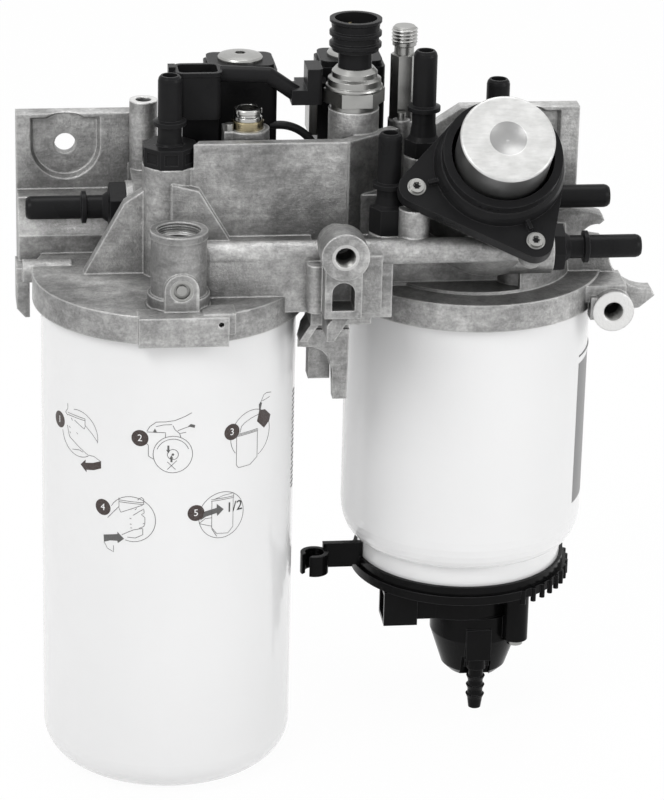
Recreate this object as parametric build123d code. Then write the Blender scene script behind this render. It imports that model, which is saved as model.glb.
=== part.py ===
"""Diesel fuel filter module: a die-cast head with two spin-on filters, a hand primer and its fittings.

Millimetres. +X runs from the main filter to the separator, +Y towards the engine, +Z up.
The origin is the centre of the main filter's gasket seat, on the underside of the head.
"""

import math
import os

from build123d import *

# Main filter and separator, the two spin-on cans
MAIN_RADIUS = 54.0
MAIN_LENGTH = 209.0
MAIN_CORNER = 15.0
SEP_X = 134.5
SEP_Y = 38.0
SEP_RADIUS = 53.5
SEP_SEAT_Z = -12.0
SEP_BODY_LENGTH = 99.0
SEP_NECK_RADIUS = 45.5
SEP_SHOULDER_RADIUS = 46.7
SEP_SHOULDER_DROP = 14.0
SEP_SHOULDER_STEPS = 6
SEP_NECK_LENGTH = 13.6
SEP_ELEMENT_OUTER = 42.0
LOWER_PLATE_THICKNESS = 4.0
LOWER_SPRING_HEIGHT = 8.0
NECK_GAP = 0.4
CAN_CLEARANCE = 2.0
SHELL_WALL = 1.0
SEAM_GAP = 1.0
GASKET_OUTER = 46.0
GASKET_INNER = 40.0
GASKET_GROOVE_DEPTH = 2.5
BASE_PLATE_THICKNESS = 5.0
STUD_RADIUS = 12.0
STUD_BORE = 8.0
STUD_DEPTH = 10.0
STUD_REACH = 18.0
THREAD_CLEARANCE = 0.1
INLET_HOLE_RADIUS = 3.0
INLET_HOLE_COUNT = 8
INLET_CIRCLE = 28.0
COLLAR_OUTER = 15.0
COLLAR_DEPTH = 9.0
SEAL_CLEARANCE = 0.3
CAP_OVERHANG = 1.0
ELEMENT_GAP = 5.0
ELEMENT_OUTER = 46.0
TUBE_RADIUS = 17.0
TUBE_WALL = 1.0
PLEAT_COUNT = 28
PLEAT_DEPTH = 20.0
END_CAP_THICKNESS = 2.0
TUBE_HOLE_RADIUS = 2.5
TUBE_HOLE_PITCH = 18.0
SPRING_HEIGHT = 12.0
SPRING_WALL = 1.2
SPRING_RADIUS = 14.0

# Head casting
FLANGE_OVERHANG = 3.5
FLANGE_HEIGHT = 12.0
CHANNEL_INNER = 20.0
CHANNEL_OUTER = 34.0
CHANNEL_DEPTH = 7.0
PLATE_FRONT_Y = 45.0
PLATE_THICKNESS = 8.0
PLATE_TOP_Z = 67.6
PLATE_LEFT_X = -62.0
PLATE_LEFT_END_X = -14.0
PLATE_RIGHT_X = 182.0
PLATE_RIGHT_END_X = 118.0
BOLT_LEFT_X = -41.0
BOLT_RIGHT_X = 159.0
BOLT_Z = 53.5
BOLT_HOLE_RADIUS = 4.5
RECESS_RADIUS = 15.0
RECESS_DEPTH = 3.0
RECESS_TAPER = 25.0
RECESS_TOP_RIM = 1.6
FLOOR_Z = 45.0
TUB_RIGHT_X = 94.0
WALL_FRONT_Y = -8.0
WALL_THICKNESS = 5.0
WALL_TOP_Z = 69.8
WALL_LEFT_X = 8.0
WALL_RIGHT_X = 74.0
SCOOP_RADIUS = 14.5
SCOOP_FRONT_Y = 24.0
SCOOP_BODY_TOP = 34.0
GALLERY_Y = -30.0
GALLERY_Z = 29.2
GALLERY_RADIUS = 5.4
GALLERY_END_X = 153.0
POCKET_LEFT_X = 91.0
POCKET_RIGHT_X = 150.0
POCKET_BACK_Y = 9.0
POCKET_TOP_Z = 24.6
POCKET_LOW_Z = 1.2
OUTLET_BOSS_RADIUS = 11.5
OUTLET_BOSS_TOP = 59.6
RIB_PROUD = 5.0
CAP_RADIUS = 11.9
CAP_HEIGHT = 8.3
CAP_POCKET_WIDTH = 5.6
CAP_POCKET_HEIGHT = 4.6
PORT_X = 0.8
PORT_Y = -40.0
PORT_RADIUS = 11.5
PORT_BORE = 9.15
PORT_STEP_BORE = 7.5
PORT_STEP_Z = 39.5
PORT_FLOOR_Z = 16.0
PORT_TOP = 44.0
PORT_LIP = 0.5
PORT_LIP_HEIGHT = 3.0
TAB_HALF = 7.1
TAB_PROUD = 1.0
TAB_OFFSET = 0.4
PLUG_Z = 21.5
PLUG_RADIUS = 4.6
PLUG_CENTRE_RADIUS = 2.2
PLUG_DEPTH = 3.0
CENTRE_BOSS_X = 67.8
CENTRE_BOSS_Z = 35.5
CENTRE_BOSS_FACE_Y = -55.0
CENTRE_BOSS_RADIUS = 10.0
CENTRE_BOSS_LENGTH = 13.5
CENTRE_HOLE_RADIUS = 4.25
CENTRE_HOLE_DEPTH = 18.0
WINDOW_FRAME = 7.7
WINDOW_RIM = 3.0
WINDOW_FRAME_LOW_Z = 7.5
WINDOW_LOW_Z = 11.0
WINDOW_TOP_Z = 23.2
WEB_FRONT_Y = -30.0
SIDE_BOSS_X = 192.0
SIDE_BOSS_Z = -11.0
SIDE_BOSS_FACE_Y = 0.0
SIDE_BOSS_RADIUS = 9.0
SIDE_HOLE_RADIUS = 4.25
SIDE_HOLE_DEPTH = 18.0
ARM_FRONT_Y = 22.0
ARM_THICKNESS = 8.0
SHELF_LEFT_X = 158.0
SHELF_LOW_Z = -8.0
SHELF_TOP_Z = -0.6
POST_X = -8.0
POST_Y = 40.0
POST_RADIUS = 6.0
POST_TOP = 75.0
POST_HOLE_RADIUS = 3.4
POST_HOLE_DEPTH = 20.0
LUG_LEFT_X = -61.0
LUG_RIGHT_X = -40.5
LUG_Y = 12.0
LUG_Z = 8.7
LUG_RADIUS = 5.0

# Seats of the screwed fittings
CHECK_X = 33.3
CHECK_Y = 8.0
CHECK_SEAT_Z = 72.0
CHECK_SEAT_RADIUS = 9.2
SENSOR_X = 78.5
SENSOR_Y = 12.0
SENSOR_SEAT_Z = 79.0
SENSOR_SEAT_RADIUS = 10.7
SENSOR_HEX_RADIUS = 13.0
SENSOR_WASHER = 2.5
SENSOR_HEX_TOP = 8.5
SENSOR_CRIMP_TOP = 18.0
SENSOR_PLUG_HEIGHT = 20.7
SENSOR_PLUG_BORE = 8.9
SENSOR_PLUG_DEPTH = 12.0
TEST_X = 101.0
TEST_Y = 24.0
TEST_SEAT_Z = 70.0
TEST_SEAT_RADIUS = 6.2
TEST_HEX_RADIUS = 5.7
TEST_HEX_HEIGHT = 28.5
TEST_TIP_RADIUS = 5.1
TEST_HEIGHT = 40.7
FITTING_THREAD = 12.0
CHECK_RING_RADIUS = 6.8
CHECK_RING_HEIGHT = 3.6
CHECK_HEIGHT = 8.7
CHECK_BORE = 4.3
CHECK_BORE_DEPTH = 6.0
SMALL_SCREWS = ((25.3, 4.2), (99.5, 16.0))
SMALL_SCREW_Z = CHECK_SEAT_Z
SMALL_SCREW_RADIUS = 1.2
SMALL_SCREW_LENGTH = 6.0
SMALL_HEAD_RADIUS = 1.9
SMALL_HEAD_HEIGHT = 3.0

# Push-on pipe ends
PIPE_RADIUS = 5.0
PIPE_RING = 1.9
PIPE_NOSE = 2.2
PIPE_BORE = 3.2
SPIGOT_RADIUS = 4.6
SPIGOT_LENGTH = 6.0
PIPE_SEAT_RADIUS = 11.0
LEFT_PIPE_SEAT_X = -17.0
LEFT_PIPE_Y = 20.0
LEFT_PIPE_Z = 34.0
LEFT_LENGTH = 42.2
LEFT_RING = 17.7
LEFT_BASE = 6.9
LEFT_BASE_RADIUS = 10.9
HIGH_PIPE_SEAT_X = 163.0
HIGH_PIPE_Y = 20.0
HIGH_PIPE_Z = 35.0
HIGH_LENGTH = 28.4
HIGH_RING = 5.0
HIGH_BASE = 2.0
HIGH_BASE_RADIUS = 8.0
LOW_PIPE_SEAT_X = 163.0
LOW_PIPE_Y = 0.0
LOW_PIPE_Z = 19.0
LOW_LENGTH = 39.0
LOW_RING = 15.0
LOW_CAP_RADIUS = 10.5
LOW_CAP_HEIGHT = 5.0
CENTRE_LENGTH = 37.9
CENTRE_RING = 17.6
CENTRE_CORE_RADIUS = 6.5
TALL_X = 107.5
TALL_Y = 6.0
TALL_SEAT_Z = 59.5
TALL_SEAT_RADIUS = 8.0
TALL_LENGTH = 45.5
TALL_RING = 20.5
TALL_BASE = 7.0
SHORT_X = 90.5
SHORT_Y = -15.0
SHORT_SEAT_Z = 33.0
SHORT_SEAT_RADIUS = 8.0
SHORT_LENGTH = 43.0
SHORT_RING = 20.5
SHORT_BASE = 11.0
REAR_X = 143.0
REAR_Y = 30.0
REAR_SEAT_Z = 24.0
REAR_BASE_RADIUS = 7.0
REAR_LENGTH = 61.0
REAR_RING = 40.0
REAR_BASE = 8.0

# Electrical socket, the two solenoid valves and their lead
SOCKET_LEFT_X = 2.8
SOCKET_WIDTH = 20.0
SOCKET_FRONT_Y = 8.0
SOCKET_DEPTH = 15.5
SOCKET_STEP_Z = 75.3
SOCKET_TOP_Z = 95.6
SOCKET_WALL = 1.8
SOCKET_FLOOR_Z = 80.0
SOCKET_FOOT_INSET = 3.6
SOCKET_FOOT_RIGHT_INSET = 1.3
SOCKET_CORNER = 4.0
SOCKET_RIM_HEIGHT = 1.6
SOCKET_RIM_INSET = 0.6
SOCKET_LATCH_TOP = 1.4
PIN_WIDTH = 1.6
PIN_HEIGHT = 9.0
PIN_PITCH = 4.2
PIN_SINK = 2.0
COIL_DEPTH = 23.0
COIL_HEIGHT = 46.0
COIL_CAP_HEIGHT = 2.4
COIL_CORNER = 3.0
COIL_A_LEFT_X = 17.7
COIL_A_WIDTH = 30.0
COIL_A_FRONT_Y = 25.0
COIL_B_LEFT_X = 65.7
COIL_B_WIDTH = 28.5
COIL_B_FRONT_Y = 29.5
COIL_NUT_RADIUS = 9.6
COIL_NUT_HEIGHT = 2.8
COIL_NUT_EDGE = 1.0
NUT_HEX_RADIUS = 2.4
STRIP_THICKNESS = 3.4
STRIP_LOW_Z = 60.0
STRIP_HEIGHT = 19.0
STRIP_DEPTH = 15.0
PLUG_BOX_LEFT_X = 52.0
PLUG_BOX_FRONT_Y = 10.0
PLUG_BOX_DEPTH = 14.0
PLUG_BOX_Z = 80.6
PLUG_BLOCK_HEIGHT = 6.4
PLUG_BODY_HEIGHT = 15.4
ARM_Z = 93.0
ARM_Y = 16.5
ARM_RADIUS = 3.4
LEAD_RADIUS = 1.8
LEAD_Y = 26.5
LEAD_Z = 67.0
LEAD_END_X = 65.5
LEAD_BEND = 17.0
LEAD_SINK = 3.0
GROMMET_RADIUS = 3.4
GROMMET_HEIGHT = 5.0

# Hand primer, on a face that slopes at 45 degrees
PUMP_X = 135.5
PUMP_Y = -22.2
PUMP_Z = 62.6
PUMP_TILT = 45.0
LOBE_ANGLES = (193.7, 289.5)
LOBE_CIRCLE = 36.4
LOBE_RADIUS = 7.5
PUMP_FLANGE_THICKNESS = 6.0
PUMP_SEAT_RADIUS = 27.5
PUMP_SEAT_LOW = -48.0
PUMP_LOBE_LOW = -16.0
LOBE_POST_RADIUS = 6.5
CORNER_POST_X = 151.0
CORNER_POST_Y = 10.5
CORNER_POST_RADIUS = 9.0
CORNER_POST_TOP_Z = 36.0
PUMP_SEAT_PLATE = 5.0
COLLAR_RADIUS = 25.0
COLLAR_BORE = 21.5
COLLAR_HEIGHT = 12.0
SKIRT_HEIGHT = 7.0
LOBE_RIB_HEIGHT = 2.4
LOBE_RIB_WIDTH = 1.6
PUMP_WELL_FLOOR = -12.0
WELL_FLOOR = 3.0
CUP_RADIUS = 19.8
CUP_TOP = 26.0
CUP_HEIGHT = 24.0
CUP_WALL = 1.5
CUP_CROWN = 3.5
DIMPLE_RADIUS = 7.9
DIMPLE_DEPTH = 1.6
PUMP_STROKE = 10.0
ROD_RADIUS = 4.0
PUMP_ROD_END = -22.0
ROD_CLEARANCE = 0.08
ROD_ROOM = 2.0
RETURN_SPRING_RADIUS = 9.0
RETURN_SPRING_WIRE = 1.5
RETURN_SPRING_TURNS = 6
SCREW_RADIUS = 2.0
SCREW_HEAD_RADIUS = 3.1
SCREW_HEAD_HEIGHT = 1.2
SCREW_LENGTH = 8.0
SCREW_SOCKET_RADIUS = 1.8
SCREW_SOCKET_DEPTH = 0.8
SLEEVE_RADIUS = 3.9
SLEEVE_PROUD = 0.3
SENSOR_BEAD_RADIUS = 12.2
SENSOR_BEAD_ROUND = 0.2
SENSOR_BEAD_HEIGHT = 1.4
SENSOR_STEP = 0.4
SENSOR_BARREL_RADIUS = 11.2
SENSOR_BARREL_HEIGHT = 4.4
SENSOR_BEVEL = 1.0
SENSOR_LIP_RADIUS = 9.6
SENSOR_LIP_ROLL = 2.0
SENSOR_MOUTH_RADIUS = 7.8
SENSOR_NECK_RADIUS = 7.1
SENSOR_NECK_HEIGHT = 6.5
SENSOR_CORE_RADIUS = 9.9
SENSOR_CORE_START = 7.2
SENSOR_RIB_RADIUS = 11.0
SENSOR_LOW_RIB = 8.4
SENSOR_HIGH_RIB = 13.2
SENSOR_RIB_SLOPE = 0.6
SENSOR_RIB_END = 2.0
SENSOR_TAPER_RADIUS = 10.3
SENSOR_RIM_HEIGHT = 2.0
SENSOR_RIM_STRAIGHT = 1.2

# Bowl under the separator
BOWL_CLEARANCE = 0.3
RING_RADIUS = 47.2
RING_HEIGHT = 4.0
SEP_SHOULDER_Z = SEP_SEAT_Z - SEAM_GAP - SEP_BODY_LENGTH
RIM_TOP_Z = SEP_SHOULDER_Z - SEP_SHOULDER_DROP - SEP_NECK_LENGTH
BOWL_RIM_RADIUS = 48.6
BOWL_RIM_HEIGHT = 4.0
GRIP_TOOTH_RADIUS = 1.2
GRIP_TOOTH_COUNT = 12
BOWL_RADIUS = 33.0
BOWL_NECK_RADIUS = 30.0
BOWL_NECK_HEIGHT = 6.0
BOWL_GASKET_OUTER = 41.0
BOWL_GASKET_INNER = 35.5
BOWL_GROOVE_DEPTH = 2.0
GRIP_TOOTH_DROP = 2.5
GRIP_START = -62.0
GRIP_STEP = 7.0
LEVEL_SOCKET_DEPTH = 10.0
LEVEL_PIN_REACH = 7.0
BOWL_DEPTH = 18.4
BOWL_FLOOR_Z = RIM_TOP_Z - BOWL_DEPTH
BOWL_WALL = 3.0
LEVEL_SOCKET_LOW = (97.0, 6.0, BOWL_FLOOR_Z - 2)
LEVEL_SOCKET_HIGH = (112.0, 22.0, BOWL_FLOOR_Z + 14)
SUMP_STRAIGHT = 12.0
SUMP_DEPTH = 31.5
SUMP_TIP_CORNER = 3.0
VALVE_DROP = 5.0
VALVE_HEIGHT = 15.0
DRAIN_BOSS_DROP = 10.0
TAP_REACH = 25.0
SUMP_X = 141.0
SUMP_Y = 25.0
SUMP_RADIUS = 20.0
SUMP_SHOULDER_Z = BOWL_FLOOR_Z - SUMP_STRAIGHT
SUMP_TIP_RADIUS = 14.5
SUMP_TIP_Z = BOWL_FLOOR_Z - SUMP_DEPTH
VALVE_X = 140.0
VALVE_Y = 10.0
VALVE_HALF = 5.6
VALVE_TOP_Z = BOWL_FLOOR_Z - VALVE_DROP
VALVE_LOW_Z = VALVE_TOP_Z - VALVE_HEIGHT
TAP_STEM_RADIUS = 3.0
TAP_RADIUS = 3.4
TAP_BORE = 1.8
TAP_END_Z = VALVE_LOW_Z - TAP_REACH
BARB_RADIUS = 4.4
TAP_CLEARANCE = 0.08
TAP_ROOM = 1.5
TAP_SEAT_GAP = 0.3
TAP_BARB_PITCH = 4.5
DRAIN_SCREW_X = 156.5
DRAIN_SCREW_Y = 6.9
DRAIN_BOSS_RADIUS = 5.6
DRAIN_BOSS_LOW_Z = BOWL_FLOOR_Z - DRAIN_BOSS_DROP
DRAIN_SCREW_RADIUS = 3.5
DRAIN_SCREW_LENGTH = 12.0
CLIP_X = 67.6
CLIP_Y = 24.0
CLIP_DROP = 0.9
CLIP_Z = RIM_TOP_Z - CLIP_DROP
CLIP_OUTER = 6.3
CLIP_INNER = 4.3
CLIP_WIDTH = 9.5
CLIP_GAP = 4.0
CLIP_ARM_THICKNESS = 3.0
CLIP_ARM_Y = 28.0

SEP = (SEP_X, SEP_Y)
ENGINE_MOUNT = ((BOLT_LEFT_X + BOLT_RIGHT_X) / 2, PLATE_FRONT_Y + PLATE_THICKNESS, BOLT_Z)
PAD_FRONT_Y = -MAIN_RADIUS - FLANGE_OVERHANG - 2.5

UP = (0, 0, 1)
LEFT_PIPE = Plane(origin=(LEFT_PIPE_SEAT_X, LEFT_PIPE_Y, LEFT_PIPE_Z), z_dir=(-1, 0, 0))
HIGH_PIPE = Plane(origin=(HIGH_PIPE_SEAT_X, HIGH_PIPE_Y, HIGH_PIPE_Z), z_dir=(1, 0, 0))
LOW_PIPE = Plane(origin=(LOW_PIPE_SEAT_X, LOW_PIPE_Y, LOW_PIPE_Z), z_dir=(1, 0, 0))
CENTRE_PIPE = Plane(origin=(0, 0, OUTLET_BOSS_TOP), z_dir=UP)
TALL_PIPE = Plane(origin=(TALL_X, TALL_Y, TALL_SEAT_Z), z_dir=UP)
SHORT_PIPE = Plane(origin=(SHORT_X, SHORT_Y, SHORT_SEAT_Z), z_dir=UP)
REAR_PIPE = Plane(origin=(REAR_X, REAR_Y, REAR_SEAT_Z), z_dir=UP)
PUMP_FRAME = Plane(
    origin=(PUMP_X, PUMP_Y, PUMP_Z),
    x_dir=(1, 0, 0),
    z_dir=(0, -math.sin(math.radians(PUMP_TILT)), math.cos(math.radians(PUMP_TILT))),
)


def upright(radius, length):
    """A round bar from its own origin upwards."""
    return Cylinder(radius, length, align=(Align.CENTER, Align.CENTER, Align.MIN))


def rod(radius, start, end):
    """A round bar between two points."""
    axis = Vector(*end) - Vector(*start)
    return Plane(origin=start, z_dir=axis) * upright(radius, axis.length)


def post(radius, x, y, low, high):
    """An upright round bar."""
    return Pos(x, y, low) * upright(radius, high - low)


def slab(low, high):
    """A box between two corners."""
    size = [b - a for a, b in zip(low, high)]
    return Pos(*low) * Box(*size, align=(Align.MIN, Align.MIN, Align.MIN))


def turned(points, x=0.0, y=0.0):
    """A body of revolution about an upright axis, from radius and height points."""
    face = Plane.XZ * make_face(Polyline(*points, close=True))
    return Pos(x, y, 0) * revolve(face, Axis.Z)


def upright_plate(points, y_front, y_back):
    """A plate cut to an outline in X and Z, between two depths."""
    outline = Plane.XZ * make_face(Polyline(*points, close=True))
    return Pos(0, y_back, 0) * extrude(outline, y_back - y_front)


def prism(radius, sides, low, high, turn=0.0):
    """An upright bar with a regular section, its radius measured to the corners."""
    section = Pos(0, 0, low) * Rot(0, 0, turn) * RegularPolygon(radius, sides)
    return extrude(section, high - low)


def along_pump(radius, low, high, x=0.0, y=0.0):
    """A round bar along the hand primer's axis."""
    return PUMP_FRAME * Pos(x, y, low) * upright(radius, high - low)


def lobe_places():
    turns = [math.radians(angle) for angle in LOBE_ANGLES]
    return [(LOBE_CIRCLE * math.cos(turn), LOBE_CIRCLE * math.sin(turn)) for turn in turns]


def heads():
    left = post(MAIN_RADIUS + FLANGE_OVERHANG, 0, 0, 0, FLANGE_HEIGHT)
    low = SEP_SEAT_Z
    right = post(SEP_RADIUS + FLANGE_OVERHANG, *SEP, low, low + FLANGE_HEIGHT)
    right += turned([(0, -1), (44, -1), (42, 22), (0, REAR_SEAT_Z)], *SEP)
    return left + right


def underside_cuts(x, y, seat):
    """The annular inlet channel, and the socket of the threaded stud."""
    ring = post(CHANNEL_OUTER, x, y, seat, seat + CHANNEL_DEPTH)
    ring -= post(CHANNEL_INNER, x, y, seat, seat + CHANNEL_DEPTH)
    return ring + post(STUD_RADIUS, x, y, seat, seat + STUD_DEPTH)


def back_plates():
    back = PLATE_FRONT_Y + PLATE_THICKNESS
    left = upright_plate(
        [
            (PLATE_LEFT_X, 17), (PLATE_LEFT_X + 2, 0), (POST_X, 0),
            (POST_X, PLATE_TOP_Z), (PLATE_LEFT_X, PLATE_TOP_Z),
        ],
        PLATE_FRONT_Y, back,
    )
    right = upright_plate(
        [
            (PLATE_RIGHT_END_X, 0), (PLATE_RIGHT_X, 0), (PLATE_RIGHT_X, PLATE_TOP_Z),
            (PLATE_RIGHT_END_X + 12, PLATE_TOP_Z), (PLATE_RIGHT_END_X, PLATE_TOP_Z - 8),
        ],
        PLATE_FRONT_Y, back,
    )
    return left + right


def plate_recess(x):
    """The U-shaped relief round a bolt hole, with the hole."""
    top = PLATE_TOP_Z - RECESS_TOP_RIM
    mouth = Plane(origin=(x, PLATE_FRONT_Y, BOLT_Z), x_dir=(1, 0, 0), z_dir=(0, -1, 0))
    outline = Circle(RECESS_RADIUS) + Pos(0, (top - BOLT_Z) / 2) * Rectangle(2 * RECESS_RADIUS, top - BOLT_Z)
    relief = mouth * extrude(outline, -RECESS_DEPTH, taper=RECESS_TAPER)
    back = PLATE_FRONT_Y + PLATE_THICKNESS
    return relief + rod(BOLT_HOLE_RADIUS, (x, PLATE_FRONT_Y, BOLT_Z), (x, back, BOLT_Z))


def plate_reliefs():
    cut = plate_recess(BOLT_LEFT_X) + plate_recess(BOLT_RIGHT_X)
    y, z = LEFT_PIPE_Y, LEFT_PIPE_Z
    return cut + rod(SCOOP_RADIUS, (PLATE_LEFT_X, y, z), (LEFT_PIPE_SEAT_X, y, z))


def centre_body():
    """The valve block between the heads, with its open tub."""
    back = PLATE_FRONT_Y + PLATE_THICKNESS
    block = slab((PLATE_LEFT_END_X, -3, FLANGE_HEIGHT - 2), (TUB_RIGHT_X, back, FLOOR_Z))
    block += slab((PLATE_LEFT_END_X, 8, -5), (PLATE_RIGHT_END_X + 2, back, 20))
    block += slab((PLATE_LEFT_X, SCOOP_FRONT_Y, 0), (PLATE_LEFT_END_X, back, SCOOP_BODY_TOP))
    block += slab((PLATE_RIGHT_END_X, 30, 0), (PLATE_RIGHT_X - 14, back, 24))
    return block


def tub_walls():
    depth = WALL_FRONT_Y + WALL_THICKNESS
    front = upright_plate(
        [
            (WALL_LEFT_X, GALLERY_Z), (WALL_RIGHT_X, GALLERY_Z - 12),
            (WALL_RIGHT_X, WALL_TOP_Z), (WALL_LEFT_X, WALL_TOP_Z),
        ],
        WALL_FRONT_Y, depth,
    )
    end = Vector(TUB_RIGHT_X + 2, WALL_FRONT_Y + 20)
    start = Vector(WALL_RIGHT_X - 1, WALL_FRONT_Y + WALL_THICKNESS / 2)
    along = end - start
    side = Box(along.length, WALL_THICKNESS, WALL_TOP_Z - 12, align=(Align.MIN, Align.CENTER, Align.MIN))
    turn = math.degrees(math.atan2(along.Y, along.X))
    return front + Pos(start.X, start.Y, 12) * Rot(0, 0, turn) * side


def gallery():
    """The cross pipe cast along the front, with the web under it."""
    pipe = rod(GALLERY_RADIUS, (PORT_X, GALLERY_Y, GALLERY_Z), (GALLERY_END_X, GALLERY_Y, GALLERY_Z))
    front = GALLERY_Y - GALLERY_RADIUS + 0.3
    pipe += slab((PORT_X, front, 5), (CENTRE_BOSS_X - 9, GALLERY_Y + 22, GALLERY_Z))
    pipe += slab((CENTRE_BOSS_X, GALLERY_Y, 0), (POCKET_LEFT_X, POCKET_BACK_Y, GALLERY_Z - 2))
    pipe += slab((POCKET_LEFT_X - 1, GALLERY_Y, POCKET_TOP_Z), (GALLERY_END_X - 6, 8, GALLERY_Z - 2))
    return pipe + slab((POCKET_LEFT_X - 1, POCKET_BACK_Y, 15), (GALLERY_END_X - 6, TALL_Y + 10, GALLERY_Z - 2))


def front_pocket():
    """The open recess under the cross pipe, over the separator's flange."""
    front = GALLERY_Y - GALLERY_RADIUS
    return slab((POCKET_LEFT_X, front, POCKET_LOW_Z), (POCKET_RIGHT_X, POCKET_BACK_Y, POCKET_TOP_Z))


def outlet_boss():
    boss = post(OUTLET_BOSS_RADIUS, 0, 0, FLANGE_HEIGHT, OUTLET_BOSS_TOP)
    r = OUTLET_BOSS_RADIUS
    left = [(0, 50), (-r, 48), (-19, 43), (-36, FLANGE_HEIGHT), (0, FLANGE_HEIGHT)]
    right = [(0, 54), (r, 51), (27, 25), (27, FLANGE_HEIGHT), (0, FLANGE_HEIGHT)]
    return boss + upright_plate(left, -3, 3) + upright_plate(right, WALL_FRONT_Y - RIB_PROUD, WALL_FRONT_Y + 2)


def front_port():
    port = post(PORT_RADIUS, PORT_X, PORT_Y, FLANGE_HEIGHT, PORT_TOP)
    port += post(PORT_RADIUS + PORT_LIP, PORT_X, PORT_Y, PORT_TOP - PORT_LIP_HEIGHT, PORT_TOP)
    port += post(PORT_RADIUS + 1.4, PORT_X, PORT_Y, FLANGE_HEIGHT, FLANGE_HEIGHT + 5)
    front = PORT_Y - PORT_RADIUS - TAB_PROUD
    x, top = PORT_X + TAB_OFFSET, PLUG_Z
    port += slab((x - TAB_HALF, front, FLANGE_HEIGHT), (x + TAB_HALF, PORT_Y, top))
    port += rod(TAB_HALF, (x, front, top), (x, PORT_Y, top))
    port += slab((-17, PAD_FRONT_Y, 0), (20, -48, FLANGE_HEIGHT + 0.5))
    port += slab((9.6, PAD_FRONT_Y + 3, 4), (23, -46, FLANGE_HEIGHT + 1))
    return port


def front_port_cuts():
    bore = post(PORT_BORE, PORT_X, PORT_Y, PORT_STEP_Z, PORT_TOP)
    bore += post(PORT_STEP_BORE, PORT_X, PORT_Y, PORT_FLOOR_Z, PORT_STEP_Z)
    front = PORT_Y - PORT_RADIUS - TAB_PROUD
    x = PORT_X + TAB_OFFSET
    bore += rod(PLUG_RADIUS, (x, front, PLUG_Z), (x, front + PLUG_DEPTH, PLUG_Z))
    bore += rod(1.1, (16.8, PAD_FRONT_Y, 9.4), (16.8, PAD_FRONT_Y + 4, 9.4))
    return bore


def centre_boss():
    x, z = CENTRE_BOSS_X, CENTRE_BOSS_Z
    rear = CENTRE_BOSS_FACE_Y + CENTRE_BOSS_LENGTH
    boss = rod(CENTRE_BOSS_RADIUS, (x, CENTRE_BOSS_FACE_Y, z), (x, rear, z))
    boss += rod(CENTRE_BOSS_RADIUS - 2, (x - 1, rear - 1, z), (x - 1, GALLERY_Y, z - 2))
    boss += Pos(x - 1, rear + 4, z) * Sphere(CENTRE_BOSS_RADIUS - 1.8)
    front = CENTRE_BOSS_FACE_Y + 4
    boss += slab((x - WINDOW_FRAME, front, WINDOW_FRAME_LOW_Z), (x + WINDOW_FRAME, GALLERY_Y, z))
    boss += slab((MAIN_RADIUS + 3, WEB_FRONT_Y, -3), (SEP_X - 52, 12, FLANGE_HEIGHT + 8))
    boss += slab((x + 7, GALLERY_Y - 6, 4), (x + 18, GALLERY_Y + 10, GALLERY_Z))
    boss += post(4.2, x - 9.6, -38, 6.5, GALLERY_Z - 2)
    rib = [(x + 7, 12), (x + 7, 20), (x - 6, 3), (x - 6, -4), (x - 3, -4)]
    return boss + upright_plate(rib, front + 4, WEB_FRONT_Y + 2)


def centre_boss_cuts():
    x, z = CENTRE_BOSS_X, CENTRE_BOSS_Z
    face = CENTRE_BOSS_FACE_Y
    cut = rod(CENTRE_HOLE_RADIUS, (x, face, z), (x, face + CENTRE_HOLE_DEPTH, z))
    front = face + 4
    half = WINDOW_FRAME - WINDOW_RIM
    arch = WINDOW_TOP_Z - half
    cut += slab((x - half, front, WINDOW_LOW_Z), (x + half, front + 12, arch))
    cut += rod(half, (x, front, arch), (x, front + 12, arch))
    return cut


def middle_bracket():
    """The forked bracket that hangs between the two cans."""
    outline = [
        (50, -9.5), (75, -9.5), (74.5, -41), (68.5, -41), (68, -28), (66.5, -22.5), (63.5, -19), (59.5, -17.3),
        (50, -16.8),
    ]
    leg = upright_plate(outline, -18, -12)
    block = slab((58.3, -14, -33), (67.5, -5, -10))
    hanger = slab((58.5, -16, -12), (75, 4, 1))
    rib = upright_plate([(59.5, 0), (52.5, -11), (56, -11), (63, 0)], WEB_FRONT_Y + 2, -12)
    return leg + block + hanger + rib


def side_bracket():
    """The arm on the right with its threaded boss."""
    with BuildPart() as arm:
        with BuildSketch(Plane.XZ.offset(-(ARM_FRONT_Y + ARM_THICKNESS))):
            with BuildLine():
                Polyline((160, 26), (176, 28.5), (183, 27.5), (189.5, 25.5), (190.5, 23), (188.5, 21.3))
                ThreePointArc((188.5, 21.3), (183, 19.8), (180.5, 16))
                Polyline((180.5, 16), (190, 14.5), (193, 9))
                ThreePointArc((193, 9), (199, -4), (213, -9))
                Polyline((213, -9), (214.5, -12), (208, -17.5), (196, -20), (160, -12), (160, 26))
            make_face()
        extrude(amount=ARM_THICKNESS)
    x, z = SIDE_BOSS_X, SIDE_BOSS_Z
    boss = rod(SIDE_BOSS_RADIUS, (x, SIDE_BOSS_FACE_Y, z), (x, ARM_FRONT_Y + 2, z))
    r = SIDE_BOSS_RADIUS
    shelf = slab((SHELF_LEFT_X, SIDE_BOSS_FACE_Y + 4, SHELF_LOW_Z), (x + r - 3, ARM_FRONT_Y + 2, SHELF_TOP_Z))
    tab = slab((x - r - 0.8, SIDE_BOSS_FACE_Y + 1, z - 4), (x, SIDE_BOSS_FACE_Y + 8, z + r - 3))
    return arm.part + boss + shelf + tab


def left_lug():
    outline = [(-63.5, 9), (-58, 9), (-58, -13), (-60, -13), (-63.5, -9)]
    return upright_plate(outline, 14, 30) + rod(LUG_RADIUS, (LUG_LEFT_X, LUG_Y, LUG_Z), (LUG_RIGHT_X, LUG_Y, LUG_Z))


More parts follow.
